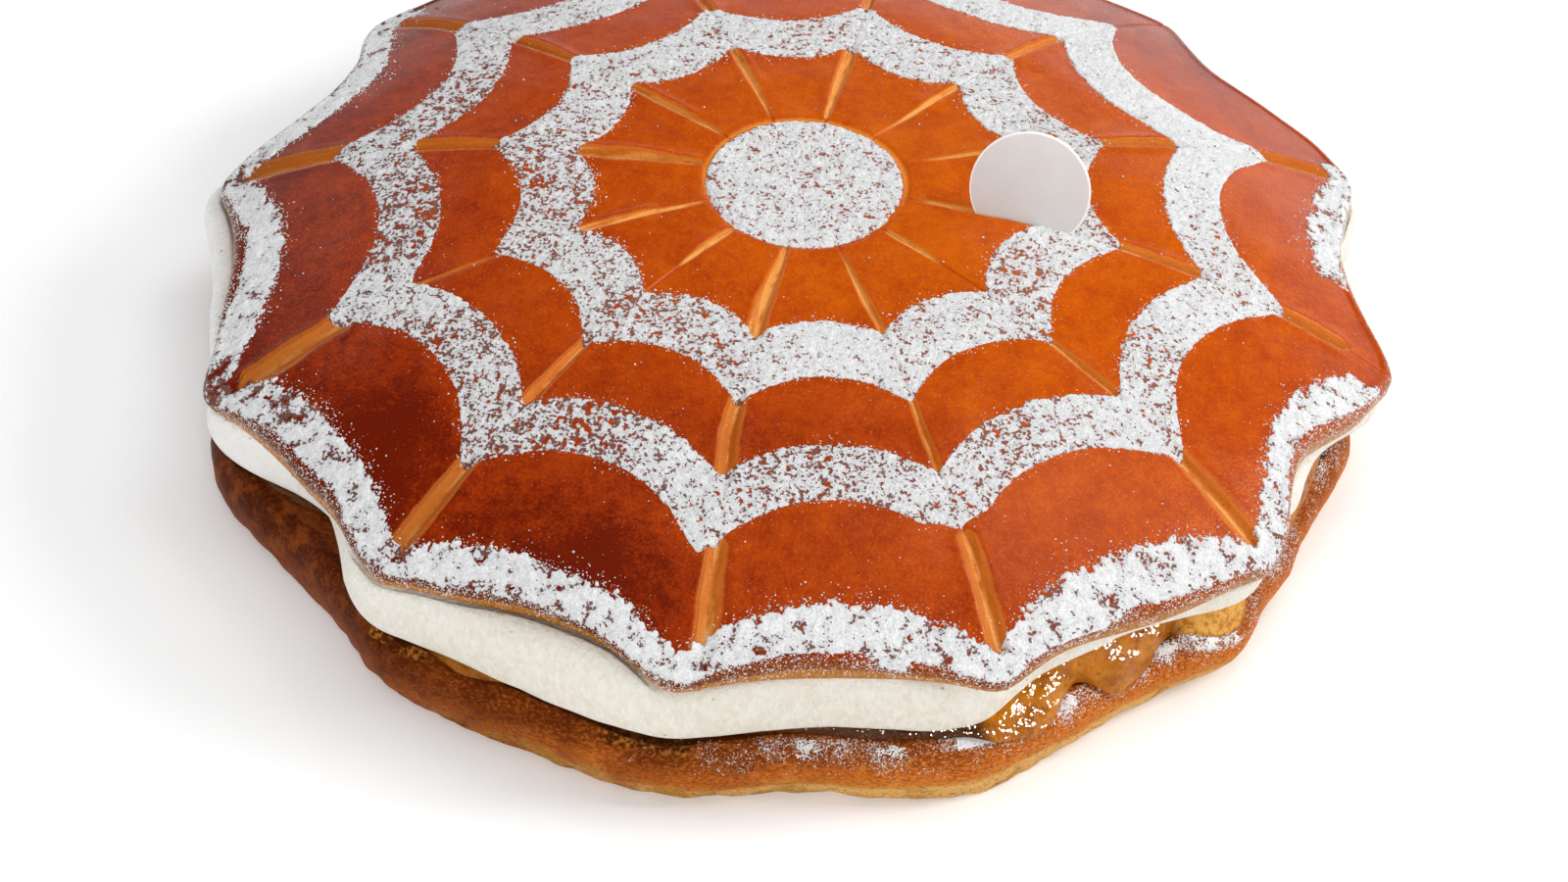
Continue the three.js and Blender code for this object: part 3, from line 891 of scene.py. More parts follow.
def cut_offset(turn, radius):
    """Distance past the nearest blade cut, which wanders a little and at some spokes drifts aside."""
    spoke = nearest_spoke(turn)
    wander = ripples(along_cut(turn, radius), CUT_WANDER)
    shift = np.zeros_like(radius)
    for number, offsets in CUT_SHIFTS.items():
        shift = np.where(spoke == number, np.interp(radius, CUT_SHIFT_RADII, offsets), shift)
    return radius * np.sin((turn - np.round(turn)) * SECTOR_ANGLE) + wander - shift


def cut_across(turn, radius):
    """Distance from the nearest blade cut over the cut's half width, that half width, and its depth."""
    spoke = nearest_spoke(turn)
    away = np.abs(cut_offset(turn, radius))
    width = np.full_like(radius, CREASE_WIDTH)
    for part, (start, furthest) in enumerate(CUT_REACHES):
        end = furthest - SHORTER_BY * (part == 2) * (spoke == SHORT_CUT)
        share = np.clip((radius - start) / (end - start), 0, 1)
        opening = CUT_OPENINGS[part]
        shape = opening + (1 - opening) * smooth_step(share, 0, 0.65)
        fading = np.isin(spoke, FADING_CUTS) & (part == 0)
        shape = np.where(fading, 1 - smooth_step(share, 0.3, 0.85), shape)
        begun = smooth_step(radius, start - 1.0, start + 2.0)
        ends = begun * (1 - smooth_step(radius, end - 2.5, end + 0.5))
        width = np.maximum(width, CUT_WIDTHS[spoke, part] * shape * ends)
    half = width * 0.5 * (1 + ripples(along_cut(turn, radius), CUT_RAGGED))
    deep = smooth_step(width, CREASE_WIDTH, DEEP_FROM_WIDTH)
    depth = CREASE_DEPTH + (CUT_DEPTH - CREASE_DEPTH) * deep
    near_centre = smooth_step(radius, DISC_GROOVE - 1.0, DISC_GROOVE + 0.5)
    return away / half, half, depth * near_centre


def crust_height(turn, radius):
    """Height of the crust in the lid's frame, with its cuts, its pressed ring and its soft unevenness."""
    flat = around(turn, radius, 0.0)
    across, half, depth = cut_across(turn, radius)
    trough = np.clip(1 - across, 0, 1)
    valley = depth * (1 - (1 - trough) ** 1.6)
    from_brink = (across - 1) * half - BRINK_AWAY
    brink = BRINK_HEIGHT * np.exp(-(from_brink ** 2)) * (half > CREASE_WIDTH) * (across > 0.8)
    ring = GROOVE_DEPTH * np.clip(1 - np.abs(radius - DISC_GROOVE) / GROOVE_HALF, 0, 1)
    wave = ripples(flat, CRUST_WAVES) * smooth_step(radius, *WAVES_GROW)
    return dome(radius) - valley - ring + brink + wave


def crust_spot(turn, reach):
    """Radius and height of the crust after going reach millimetres out from the middle and over the lip."""
    brow = lid_edge(turn) - LIP_ROUND
    over = np.maximum(reach - brow, 0)
    curl = np.minimum(over / LIP_ROUND, np.pi / 2)
    face = np.maximum(over - LIP_ROUND * np.pi / 2, 0)
    top = np.minimum(reach, brow)
    radius = top + LIP_ROUND * np.sin(curl) - face * 0.3
    height = crust_height(turn, top) - LIP_ROUND * (1 - np.cos(curl)) - face
    return radius, height


def seated(points):
    """Moves points from the lid's own frame to where the lid rests, tipped up at the front."""
    moved = points.copy()
    moved[:, 1] = points[:, 1] * math.cos(LID_TILT) + points[:, 2] * math.sin(LID_TILT) + LID_SLIDE
    moved[:, 2] = -points[:, 1] * math.sin(LID_TILT) + points[:, 2] * math.cos(LID_TILT) + LID_SEAT_HEIGHT
    return moved


def gathered(turn):
    """Gathers a sheet's columns towards the blade cuts, where the form is finest."""
    sector = np.floor(turn + 0.5)
    away = (turn - sector) * 2
    gathered_in = np.sign(away) * np.abs(away) ** 2.4
    return sector + (EVEN_SPREAD * away + (1 - EVEN_SPREAD) * gathered_in) * 0.5


def lid_reach(turn, share):
    """Which leg of the lid's skin a share falls on, and how far out along the crust it is."""
    leg = leg_of(share, LID_PATH)
    brow = lid_edge(turn) - LIP_ROUND
    reach = np.clip(leg, 0, 1) * brow + np.clip(leg - 1, 0, 1) * (LIP_ROUND * np.pi / 2 + LIP_FACE)
    return leg, reach


def lid_place(turn, share):
    """The lid's skin from the middle of the crust over the lip and in to the middle of its flat cut."""
    turn = gathered(turn)
    leg, reach = lid_reach(turn, share)
    radius, height = crust_spot(turn, reach)
    lower_radius, lower_height = lid_underside(turn, 1 + 0 * turn)
    fall = np.clip(leg - 2, 0, 1)
    under = np.clip(leg - 3, 0, 1)
    edge = lower_radius - LIP_TUCK
    bulge = np.sin(fall * np.pi) * LIP_LOWER_BULGE
    radius = np.where(leg > 2, radius + (edge - radius) * fall + bulge, radius)
    height = np.where(leg > 2, height + (lower_height - height) * fall - bulge, height)
    flat = web_radius(LID_FLAT, turn, LIP_CORNER)
    inward = np.clip(under * 2, 0, 1)
    inmost = np.clip(under * 2 - 1, 0, 1)
    radius = np.where(leg > 3, edge + (flat - edge) * inward - flat * inmost, radius)
    height = np.where(leg > 3, lower_height * (1 - inward), height)
    return seated(around(turn, radius, height))


def near(reach, span):
    """1 at the middle of a span along the crust, falling off smoothly to its sides."""
    middle, spread = span
    return np.exp(-(((reach - middle) / spread) ** 2))


def browned_at(turn, reach):
    """How brown the oven left the crust, from about 0 to 1: more at the rim and at the left."""
    angle = turn * SECTOR_ANGLE - CAMERA_AZIMUTH
    panels = humps(turn, FRONT_BROWN) * near(reach, FRONT_BROWN_SPAN)
    panels = panels + humps(turn, DARK_PANELS) * near(reach, DARK_PANEL_SPAN)
    out = reach / LIP[0]
    return 0.2 + 0.55 * out ** 2 - 0.33 * out * np.sin(angle) + panels


def lid_values(turn, share):
    """What the crust's finish reads off its points."""
    turn = gathered(turn)
    leg, reach = lid_reach(turn, share)
    lip = lid_edge(turn)
    radius = np.minimum(reach, lip)
    across, half, _ = cut_across(turn, radius)
    sideways = cut_offset(turn, radius) / half * CUT_LIT_SIDES[nearest_spoke(turn)]
    rim_browned = 0.14 * smooth_step(radius, lip - 9, lip - 1)
    return {
        "cut": np.minimum(across, 4),
        # Which flank of a cut takes painted light, and its middle line, which takes a painted highlight.
        "pale_side": smooth_step(sideways, -0.2, 0.2),
        "core": np.exp(-((sideways / 0.2) ** 2)),
        "opened": smooth_step(half * 2, CREASE_WIDTH * 1.05, 1.3) * (leg <= 1),
        "browned": browned_at(turn, radius) + rim_browned,
        "lip_face": smooth_step(leg, 1.1, 1.7),
        "lower_lip": smooth_step(leg, 1.92, 1.99),
        "from_ring": np.abs(radius - DISC_GROOVE) / GROOVE_HALF + humps(turn, FRONT_OF_RING),
        "reach": reach,
        "dusted": smooth_step(radius, lip - 3, lip) * (1 - smooth_step(leg, 2.3, 2.9)),
    }


lid_material, wire, shader = finish_of(
    "egg_washed_crust", Specular_IOR_Level=0.2, Specular_Tint=colour(1.0, 0.64, 0.4)
)
mottle = wire.grain(11.0, 4.0, 0.6, 1.0)
blotch = wire.grain(2.8, 3.0, 0.6, 6.0)
skin_grain = wire.grain(0.65, 2.0, 0.6, 3.0)
oven_brown = wire.carried("browned")
browned = oven_brown + (mottle - 0.5) * 0.7 + (blotch - 0.5) * 0.5 + (skin_grain - 0.5) * 0.8
BROWNING = (
    (0.0, colour(0.62, 0.115, 0.002)),
    (0.35, colour(0.47, 0.062, 0.002)),
    (0.7, colour(0.31, 0.028, 0.0015)),
    (1.0, colour(0.145, 0.0085, 0.001)),
)
crust = wire.add("ShaderNodeValToRGB", {"stops": BROWNING}, {"Fac": browned})
cut = wire.carried("cut") + (blotch - 0.5) * 0.3
opened = wire.carried("opened")
in_cut = (1 - cut.step(0.84, 1.04)) * opened
along = wire.add(
    "ShaderNodeCombineXYZ",
    None,
    {0: wire.carried("reach") * 0.12, 1: wire.carried("cut") * 1.6, 2: mottle * 4.0},
)
fibre = along.noise(1.0, 2.0, 0.5)
golden = fibre.step(0.3, 0.7).blend(colour(0.50, 0.105, 0.007), colour(0.64, 0.17, 0.02))
golden = ((skin_grain - 0.5).step(-0.2, 0.2) * 0.35).blend(golden, colour(0.72, 0.25, 0.045))
golden = (1 - oven_brown.step(-0.1, 0.45)).blend(golden, colour(0.92, 0.37, 0.08))
pith = wire.grain(1.0, 3.0, 0.65, 8.0)
golden = ((1 - pith.step(0.34, 0.5)) * 0.28).blend(golden, colour(0.36, 0.07, 0.004))
inner_cut = 1 - wire.carried("reach").step(55.0, 75.0)
golden = (inner_cut * 0.75 * fibre.step(0.34, 0.6)).blend(golden, colour(0.97, 0.48, 0.11))
# Painted light and shade: one flank of each cut is painted darker, the other lighter.
pale_side = wire.carried("pale_side")
golden = ((1 - pale_side) * 0.5).blend(golden, colour(0.44, 0.10, 0.004))
golden = (pale_side * 0.35).blend(golden, colour(0.76, 0.25, 0.055))
# Painted highlight: a thin bright line along each cut's middle.
golden = (wire.carried("core") * fibre.step(0.4, 0.6) * 0.6).blend(golden, colour(0.97, 0.52, 0.17))
golden = (oven_brown.step(0.5, 1.2) * 0.9).blend(golden, colour(0.32, 0.08, 0.006))
from_brink = wire.maths("ABSOLUTE", cut - 1.06)
pale_edge = (1 - from_brink.step(0.0, 0.42)) * opened
crust = (pale_edge * 0.4).blend(crust, colour(0.78, 0.24, 0.035))
crust = in_cut.blend(crust, golden)
ring_edge = 1 - wire.carried("from_ring").step(0.1, 1.0)
crust = (ring_edge * 0.8).blend(crust, colour(0.82, 0.30, 0.045))
lip_brown = skin_grain.step(0.4, 0.6).blend(colour(0.17, 0.034, 0.004), colour(0.46, 0.15, 0.02))
lip_dark = skin_grain.step(0.4, 0.6).blend(colour(0.05, 0.009, 0.003), colour(0.22, 0.06, 0.01))
lip_brown = oven_brown.step(0.55, 1.05).blend(lip_brown, lip_dark)
crust = (wire.carried("lip_face") * 0.8).blend(crust, lip_brown)
tan = skin_grain.step(0.3, 0.7).blend(colour(0.30, 0.10, 0.008), colour(0.50, 0.20, 0.03))
crust = wire.carried("lower_lip").blend(crust, tan)
dust_grain = wire.grain(0.45, 2.0, 0.6, 15.0)
dusting = (dust_grain + wire.carried("dusted") * 0.15 + (blotch - 0.5) * 0.3).step(0.75, 0.79)
crust = (dusting * 0.8).blend(crust, colour(0.84, 0.80, 0.78))
relief = skin_grain * 0.9 + blotch * 0.7 + in_cut * (fibre * 2.0 + pith * 3.0)
shine = 0.2 + skin_grain * 0.12 + in_cut * 0.4
feed(wire, shader, Base_Color=crust, Roughness=shine, Normal=wire.bump(relief, 0.1))
LID_COLUMNS = SECTORS * COLUMNS_PER_SECTOR
lid_mesh, lid_form = wrapped_sheet("brioche_lid_crust", LID_COLUMNS, LID_ROWS, lid_place, lid_values)
finished("brioche_lid_crust", lid_mesh, lid_form, lid_material, "brioche_lid")

# Icing sugar
# Sifted through a stencil on to the crust: a disc in the middle, two scalloped rings and a band at the rim.
# It lies in soft clumps with small gaps between them, thinner here and there, and ragged along the rim.
# Loose crumbs of it lie along the edges, a few on the crust, and more on the base where they fell.
SUGAR_FACES = 88000
SUGAR_MARGIN = 2.0
SUGAR_SUNK = -0.12
MOST_THINNED = 0.6
DISC_EDGE = 20.9
DISC_SWELLS = ((10.8, 3.2, 0.9), (0.6, 3.0, 0.9))
INNER_RING_FROM = (50.5, 45.0)
INNER_RING_TO = (69.1, 61.0)
OUTER_RING_FROM = (86.8, 78.0)
OUTER_RING_TO = (104.9, 91.5)
OUTER_RING_TIPS = ((1.0, 0.16, -4.4), (4.0, 0.16, 4.0), (5.0, 0.16, 2.6))
RIM_BAND_FROM = (124.5, 113.2)
RIM_BAND_SHIFTS = (
    (11.65, 0.45, 1.2),
    (11.45, 0.6, 2.2),
    (10.6, 0.5, 2.0),
    (3.55, 0.4, 1.6),
    (2.3, 0.5, 2.4),
    (4.5, 0.6, 6.0),
    (3.0, 0.3, 3.0),
    (5.5, 0.6, 3.0),
)
RIM_BAND_PROUD = 0.3
RIM_BAND_SHORT = 2.2
RIM_BAND_OVER = (
    (11.65, 0.45, 1.8),
    (11.35, 0.45, 1.4),
    (1.62, 0.42, 0.6),
    (9.4, 0.5, -1.4),
    (3.62, 0.36, 2.4),
    (1.3, 0.2, 4.0),
    (0.67, 0.09, 3.2),
    (10.0, 0.3, 1.2),
)
CLUMP_SIZE = 3.6
LUMP_SIZE = 1.25
TOOTH_SIZE = 1.3
# Weights that place one lump's middle in each cell of a grid, two for the cell and one to scatter by.
LUMP_SCATTER = ((127.1, 311.7, 43758.5453), (269.5, 183.3, 24634.6345))
OUTER_THINNED = (
    (0.5, 0.75, 0.2),
    (11.4, 0.6, 0.32),
    (11.0, 0.3, 0.15),
    (10.5, 0.6, 0.28),
    (9.5, 0.7, 0.34),
    (8.6, 0.6, 0.25),
    (1.4, 0.5, 0.22),
    (2.35, 0.3, 0.2),
    (4.6, 1.8, -0.22),
)
THINNED_EVERYWHERE = 0.05
RIM_THINNED_EVERYWHERE = 0.06
INNER_THINNED = ((0.6, 0.7, -0.14), (9.5, 1.4, 0.2), (11.2, 1.2, 0.18), (2.2, 0.6, 0.1))
RIM_THINNED = (
    (7.42, 0.56, 8.0),
    (8.5, 0.5, -0.25),
    (4.5, 0.52, 8.0),
    (5.1, 0.6, 8.0),
    (3.16, 0.2, 6.0),
    (2.98, 0.1, 4.0),
    (10.0, 0.14, 0.8),
    (11.0, 0.1, 0.4),
    (10.3, 0.25, 0.3),
    (9.5, 0.4, -0.15),
    (9.0, 0.12, 0.3),
)


def granules(spots, size, seed):
    """Rounded lumps packed side by side over the crust, 1 at a lump's middle and 0 between lumps."""
    level = spots[:, :2] / size
    cell = np.floor(level)
    nearest = np.full(len(level), 9.0)
    for step_x in (-1, 0, 1):
        for step_y in (-1, 0, 1):
            corner = cell + (step_x, step_y)
            moves = []
            for weight_x, weight_y, far in LUMP_SCATTER:
                moves.append(np.sin(corner @ np.array((weight_x, weight_y)) + seed) * far % 1)
            centre = corner + 0.1 + 0.8 * np.stack(moves, axis=-1)
            nearest = np.minimum(nearest, np.linalg.norm(level - centre, axis=1))
    return 1 - np.minimum(nearest / 0.8, 1) ** 2


def sugar_clump(spots):
    """Soft uneven clumps, from about -1 in the hollows to 1."""
    return ripple(spots, CLUMP_SIZE, 2.0) * 0.7 + (granules(spots, CLUMP_SIZE, 2.0) - 0.5) * 0.6


def sugar_lift(turn, reach, first, second, frays, thinned, clumped):
    """Height of the sugar over the crust between two lines; below zero the crust shows."""
    spots = around(turn, reach, 0.0)
    drift = ripple(spots, 14.0, 2.2)
    bite = (granules(spots, TOOTH_SIZE, 5.0) - 0.5) * 0.9
    tooth = ripple(spots, 1.6, 5.1) * 0.8 + bite + ripple(spots, 5.0, 7.7) * 0.7
    inside = np.minimum(reach - first + tooth * frays[0], second - reach + tooth * frays[1])
    bed = smooth_step(inside, -0.15, 0.35)
    clump = 0.16 + clumped * (sugar_clump(spots) * 0.34 + 0.06)
    lump = clump + granules(spots, LUMP_SIZE, 1.0) * 0.2
    lump = lump + ripple(spots, 1.5, 3.3) * 0.2 + ripple(spots, 0.8, 8.8) * 0.16
    return bed * (lump - 0.1 + 0.1 * drift - 0.4 * thinned) - (1 - bed) * 0.4


def sugar_sheet(name, columns, rows, band, lift, thinned, clumped):
    """One band of sugar laid over the crust; faces that sink under the crust are taken away."""

    def place(turn, share):
        reach = band(turn, share)
        across, _, depth = cut_across(turn, reach)
        rise = lift(turn, reach)
        filled = np.clip(1 - across, 0, 1) * depth * 0.3
        radius, height = crust_spot(turn, reach)
        return seated(around(turn, radius, height + rise + filled * (rise > 0)))

    def values(turn, share):
        reach = band(turn, share)
        across, half, _ = cut_across(turn, reach)
        return {
            "lift": lift(turn, reach),
            "browned": browned_at(turn, reach),
            "creased": np.exp(-((across * half / 0.3) ** 2)) * smooth_step(half, 0.3, 0.9),
            "hollow": 0.1 - sugar_clump(around(turn, reach, 0.0)) * clumped,
            "thinned": np.minimum(thinned(turn), MOST_THINNED),
        }

    mesh, form = wrapped_sheet(name, columns, rows, place, values)
    layer = form.verts.layers.float["lift"]
    sunk = [face for face in form.faces if all(corner[layer] < SUGAR_SUNK for corner in face.verts)]
    bmesh.ops.delete(form, geom=sunk, context="FACES")
    finished(name, mesh, form, sugar_material)


sugar_material, wire, shader = finish_of("icing_sugar", Roughness=0.92, Specular_IOR_Level=0.1)
powder = wire.grain(0.72, 2.0, 0.55, 2.0)
cluster = wire.grain(1.8, 2.0, 0.6, 9.0)
crevice = powder * 0.75 + cluster * 0.5 + wire.carried("hollow") * 0.2 + wire.carried("thinned") * 0.22
crevice = crevice + (0.3 - wire.carried("lift")) * 0.3 + wire.carried("creased") * 0.12
gap = crevice.step(0.762, 0.785)
grit = wire.grain(0.42, 2.0, 0.6, 6.0)
# Painted shade: low sugar between clumps is made greyer and high sugar whiter, mixed with random grain.
lit = (wire.carried("lift") * 0.6 + powder * 0.5 + grit * 0.9).step(0.5, 1.2)
white = lit.blend(colour(0.60, 0.60, 0.61), colour(0.88, 0.88, 0.88))
# Painted shade: the crust seen in the gaps is painted darker than the crust around it.
hole = wire.carried("browned").step(-0.2, 0.9).blend(colour(0.36, 0.075, 0.012), colour(0.13, 0.018, 0.005))
relief = powder * 0.8 + cluster + grit * 0.6 - gap * 0.5
feed(wire, shader, Base_Color=(gap * 0.92).blend(white, hole), Normal=wire.bump(relief, 0.5))


def ring_of_sugar(name, first, second, frays, thinned, clumped):
    """Lays sugar between two lines round the cake, each given by its radius at a turn."""
    turns = np.linspace(0, SECTORS, 240)
    wide = np.mean(second(turns) - first(turns)) + 2 * SUGAR_MARGIN
    long = 2 * np.pi * np.mean(second(turns) + first(turns)) / 2
    pitch = math.sqrt(wide * long / SUGAR_FACES)
    columns = int(long / pitch)
    rows = int(wide / pitch)

    def band(turn, share):
        inner = first(turn) - SUGAR_MARGIN
        return inner + (second(turn) + SUGAR_MARGIN - inner) * share

    def lift(turn, reach):
        return sugar_lift(turn, reach, first(turn), second(turn), frays, thinned(turn), clumped)

    sugar_sheet(name, columns, rows, band, lift, thinned, clumped)


def inner_ring_from(turn):
    return web_radius(INNER_RING_FROM, turn)


def inner_ring_to(turn):
    return web_radius(INNER_RING_TO, turn)


def outer_ring_from(turn):
    return web_radius(OUTER_RING_FROM, turn)


def outer_ring_to(turn):
    return web_radius(OUTER_RING_TO, turn) + humps(turn, OUTER_RING_TIPS)


def rim_band_from(turn):
    return web_radius(RIM_BAND_FROM, turn) + humps(turn, RIM_BAND_SHIFTS)


def rim_band_to(turn):
    return lid_edge(turn) + RIM_BAND_PROUD - RIM_BAND_SHORT * between(turn) + humps(turn, RIM_BAND_OVER)


def inner_thinned(turn):
    return THINNED_EVERYWHERE + humps(turn, INNER_THINNED)


def outer_thinned(turn):
    return humps(turn, OUTER_THINNED)


def rim_thinned(turn):
    return RIM_THINNED_EVERYWHERE + humps(turn, RIM_THINNED)


LIGHT_CLUMPS = 0.25
FULL_CLUMPS = 1.0
ring_of_sugar("sugar_inner_ring", inner_ring_from, inner_ring_to, (0.4, 0.2), inner_thinned, LIGHT_CLUMPS)
ring_of_sugar("sugar_outer_ring", outer_ring_from, outer_ring_to, (0.6, 0.22), outer_thinned, LIGHT_CLUMPS)
ring_of_sugar("sugar_rim_band", rim_band_from, rim_band_to, (1.7, 1.0), rim_thinned, FULL_CLUMPS)
DISC_MARGIN = 1.6
DISC_FRAYS = (0.2, 0.2)
PAST_CENTRE = -9.0
DISC_COLUMNS = 380
DISC_ROWS = 66


def disc_band(turn, share):
    return (DISC_EDGE + DISC_MARGIN) * share


def disc_lift(turn, reach):
    edge = DISC_EDGE + humps(turn, DISC_SWELLS)
    return sugar_lift(turn, reach, PAST_CENTRE, edge, DISC_FRAYS, THINNED_EVERYWHERE, LIGHT_CLUMPS)


def disc_thinned(turn):
    return THINNED_EVERYWHERE + 0 * turn


sugar_sheet("sugar_disc", DISC_COLUMNS, DISC_ROWS, disc_band, disc_lift, disc_thinned, LIGHT_CLUMPS)


def crumbs_of_sugar(name, spots, sizes, seed):
    """Loose crumbs of sugar: rough little balls at spots in millimetres, joined into one piece."""
    ball = bmesh.new()
    bmesh.ops.create_uvsphere(ball, u_segments=4, v_segments=2, radius=1.0)
    corners = np.array([corner.co[:] for corner in ball.verts])
    faces = np.array([[corner.index for corner in face.verts] for face in ball.faces])
    ball.free()
    chance = np.random.default_rng(seed)
    count = len(spots)
    dented = corners[None] * chance.uniform(0.75, 1.2, (count, len(corners), 1))
    lumps = dented * chance.uniform(0.75, 1.25, (count, 1, 3))
    spin = chance.uniform(0, 2 * np.pi, count)
    turned_x = lumps[:, :, 0] * np.cos(spin)[:, None] - lumps[:, :, 1] * np.sin(spin)[:, None]
    turned_y = lumps[:, :, 0] * np.sin(spin)[:, None] + lumps[:, :, 1] * np.cos(spin)[:, None]
    balls = np.stack((turned_x, turned_y, lumps[:, :, 2]), axis=-1) * sizes[:, None, None]
    points = (balls + spots[:, None, :] + np.array(GALETTE_SHIFT)) * MM
    links = faces[None] + np.arange(count)[:, None, None] * len(corners)
    mesh = bpy.data.meshes.new(name)
    mesh.from_pydata(points.reshape(-1, 3).tolist(), [], links.reshape(-1, 3).tolist())
    handed_over(name, mesh, crumb_material)


crumb_material, wire, shader = finish_of("loose_sugar", Roughness=0.9, Specular_IOR_Level=0.1)
powder = wire.grain(0.4, 2.0, 0.6, 4.0)
crumb_tone = powder.blend(colour(0.70, 0.70, 0.70), colour(0.84, 0.84, 0.84))
feed(wire, shader, Base_Color=crumb_tone, Normal=wire.bump(powder, 0.1))

CRUMB_SEED = 41
EDGE_SEED = 7
STRAY_SEED = 8
DUST_SEED = 9
EDGE_CRUMBS = 22000
RING_CRUMBS_KEPT = 0.35
RING_LINES = ((inner_ring_from, -1), (inner_ring_to, 1), (outer_ring_from, -1), (outer_ring_to, 1))
RIM_LINES = ((rim_band_from, -1),) * 2 + ((rim_band_to, 1),) * 4
EDGE_LINES = RING_LINES + RIM_LINES
chance = np.random.default_rng(CRUMB_SEED)


def crumb_sizes(count, least, spread, power):
    """Radii of crumbs in millimetres, most of them near the least."""
    return least + spread * chance.random(count) ** power


edge_turn = chance.uniform(0, SECTORS, EDGE_CRUMBS)
edge_line = chance.integers(0, len(EDGE_LINES), EDGE_CRUMBS)
on_ring = edge_line < len(RING_LINES)
edge_away = chance.exponential(1.0, EDGE_CRUMBS) * np.where(on_ring, 0.7, 1.1) - 0.3
edge_reach = np.zeros(EDGE_CRUMBS)
for number, (line, side) in enumerate(EDGE_LINES):
    edge_reach = np.where(edge_line == number, line(edge_turn) + side * edge_away, edge_reach)
ring_kept = chance.random(EDGE_CRUMBS) < RING_CRUMBS_KEPT
edge_kept = np.where(on_ring, ring_kept, rim_thinned(edge_turn) < 0.5)
edge_turn = edge_turn[edge_kept]
edge_radius, edge_height = crust_spot(edge_turn, edge_reach[edge_kept])
edge_sizes = crumb_sizes(len(edge_turn), 0.09, 0.18, 2)
edge_spots = seated(around(edge_turn, edge_radius, edge_height + edge_sizes * 0.4))
crumbs_of_sugar("sugar_edge_crumbs", edge_spots, edge_sizes, EDGE_SEED)

STRAY_CRUMBS = 700
STRAY_REACH = 128.0
stray_turn = chance.uniform(0, SECTORS, STRAY_CRUMBS)
stray_reach = STRAY_REACH * np.sqrt(chance.uniform(0.04, 1, STRAY_CRUMBS))
stray_radius, stray_height = crust_spot(stray_turn, stray_reach)
stray_sizes = crumb_sizes(STRAY_CRUMBS, 0.07, 0.3, 6)
stray_spots = seated(around(stray_turn, stray_radius, stray_height + stray_sizes * 0.5))
crumbs_of_sugar("sugar_stray_crumbs", stray_spots, stray_sizes, STRAY_SEED)

BASE_CRUMB_TRIES = 130000
BASE_CRUMBS = 22000
DUST_FROM = 120.0
DUST_ACROSS = 8.0
DUST_PATCH_SIZE = 5.0
dust_turn = chance.uniform(0, SECTORS, BASE_CRUMB_TRIES)
dust_leg = chance.uniform(1.0, 2.1, BASE_CRUMB_TRIES)
dust_share = np.interp(dust_leg, np.arange(len(BASE_PATH)), BASE_PATH)
dust_wanted = base_dusted(dust_turn, dust_leg)
dust_flat = around(dust_turn, DUST_FROM + DUST_ACROSS * dust_leg, 0.0)
dust_patch = smooth_step(ripple(dust_flat, DUST_PATCH_SIZE, 4.0), -0.5, 0.5)
kept = chance.random(BASE_CRUMB_TRIES) < dust_wanted * dust_patch
dust_spots = base_place(dust_turn[kept], dust_share[kept])
dust_sizes = crumb_sizes(len(dust_spots), 0.06, 0.16, 2)
dust_spots[:, 2] += dust_sizes * 0.5
crumbs_of_sugar("sugar_base_crumbs", dust_spots[:BASE_CRUMBS], dust_sizes[:BASE_CRUMBS], DUST_SEED)

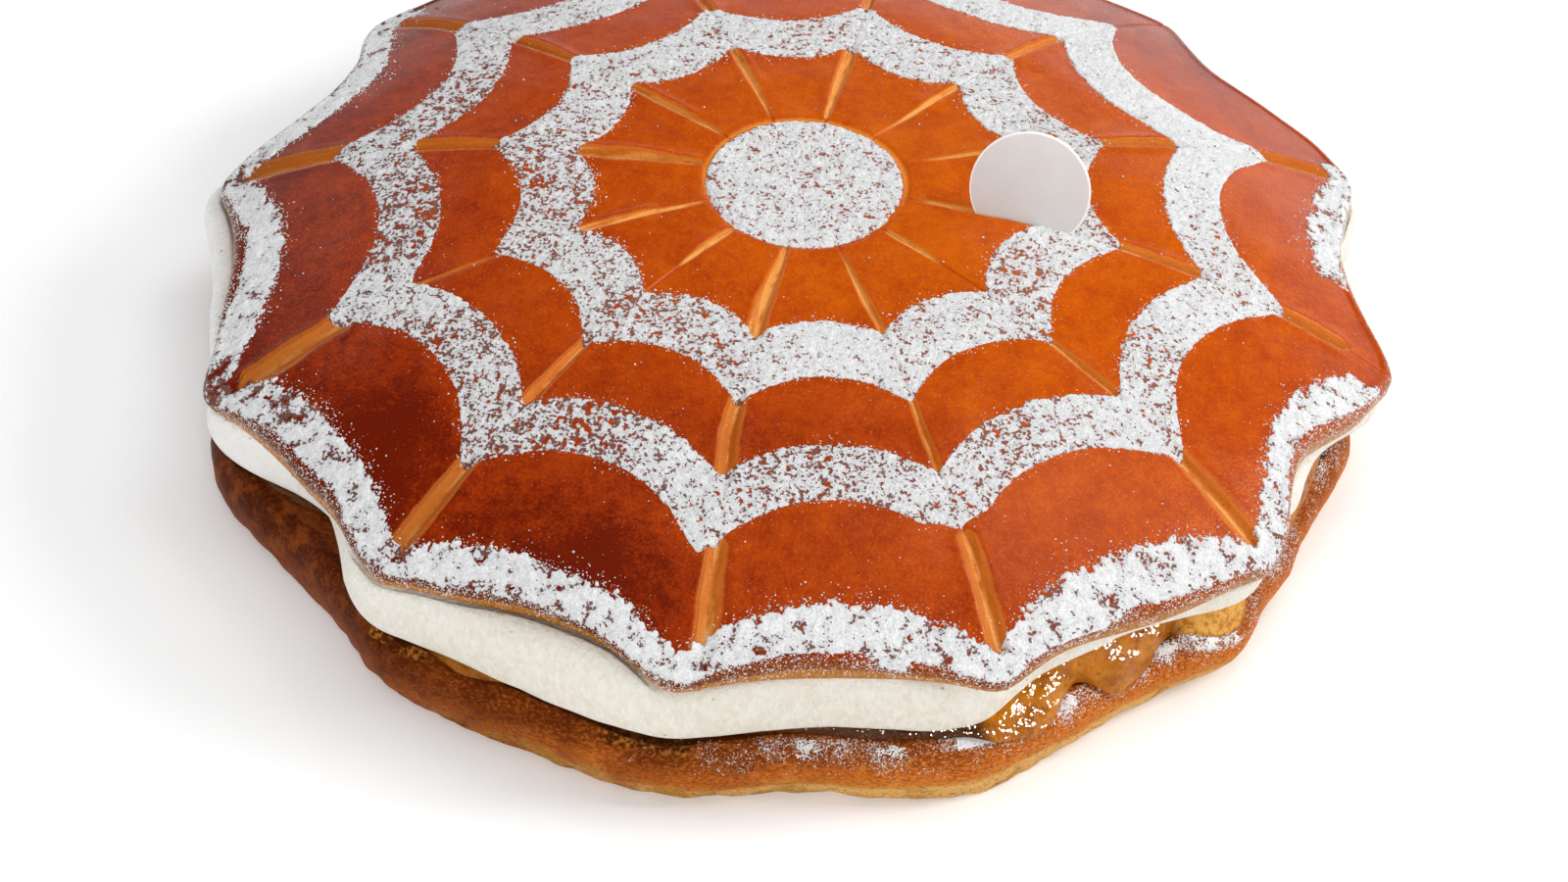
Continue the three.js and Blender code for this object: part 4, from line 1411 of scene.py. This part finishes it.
# Tag
# A thin round tag of milky plastic with an eased edge and a bare face.
# It stands in the blade cut at the right, sunk a little into the crust, and leans back.
TAG_RADIUS = 13.0
TAG_THICKNESS = 0.8
TAG_EASED = 0.2
TAG_SEGMENTS = 120
TAG_LEAN = math.radians(20)
TAG_PLACE = 48.0
TAG_SUNK = 5.9
tag_form = bmesh.new()
bmesh.ops.create_circle(tag_form, cap_ends=True, segments=TAG_SEGMENTS, radius=TAG_RADIUS * MM)
grown = bmesh.ops.extrude_face_region(tag_form, geom=tag_form.faces[:])
lifted = [item for item in grown["geom"] if isinstance(item, bmesh.types.BMVert)]
bmesh.ops.translate(tag_form, vec=(0, 0, TAG_THICKNESS * MM), verts=lifted)
bmesh.ops.recalc_face_normals(tag_form, faces=tag_form.faces)
rims = [edge for edge in tag_form.edges if edge.calc_face_angle(0) > 1]
bmesh.ops.bevel(
    tag_form, geom=rims, offset=TAG_EASED * MM, segments=3, profile=0.5, affect="EDGES", material=-1
)
bmesh.ops.translate(tag_form, vec=(0, 0, -TAG_THICKNESS / 2 * MM), verts=tag_form.verts)
tag_rise = TAG_RADIUS - TAG_SUNK
tag_height = dome(TAG_PLACE) + tag_rise * math.cos(TAG_LEAN)
tag_centre = np.array(((TAG_PLACE, tag_rise * math.sin(TAG_LEAN), tag_height),))
tag_spot = (seated(tag_centre)[0] + np.array(GALETTE_SHIFT)) * MM
tag_turn = Matrix.Rotation(-LID_TILT, 4, "X") @ Matrix.Rotation(math.pi / 2 - TAG_LEAN, 4, "X")
bmesh.ops.transform(tag_form, matrix=Matrix.Translation(tag_spot) @ tag_turn, verts=tag_form.verts)
tag_mesh = bpy.data.meshes.new("round_tag")
tag_material, wire, shader = finish_of(
    "milky_plastic", Roughness=0.38, Specular_IOR_Level=0.45, Subsurface_Weight=0.2, Subsurface_Scale=0.002
)
haze = wire.grain(6.0, 3.0, 0.5, 2.0)
spot = wire.add("ShaderNodeTexCoord", output=3)
distance = wire.add("ShaderNodeVectorMath", {"operation": "DISTANCE"}, {0: spot, 1: tag_spot}, output=1)
from_centre = distance * (1.0 / MM)
milky = haze.blend(colour(0.64, 0.63, 0.61), colour(0.72, 0.71, 0.69))
# Painted highlight: the eased rim is made nearly white.
milky = from_centre.step(TAG_RADIUS - 0.5, TAG_RADIUS - TAG_EASED).blend(milky, colour(0.95, 0.94, 0.93))
feed(wire, shader, Base_Color=milky, Normal=wire.bump(haze, 0.05))
finished("round_tag", tag_mesh, tag_form, tag_material, "tag_disc")
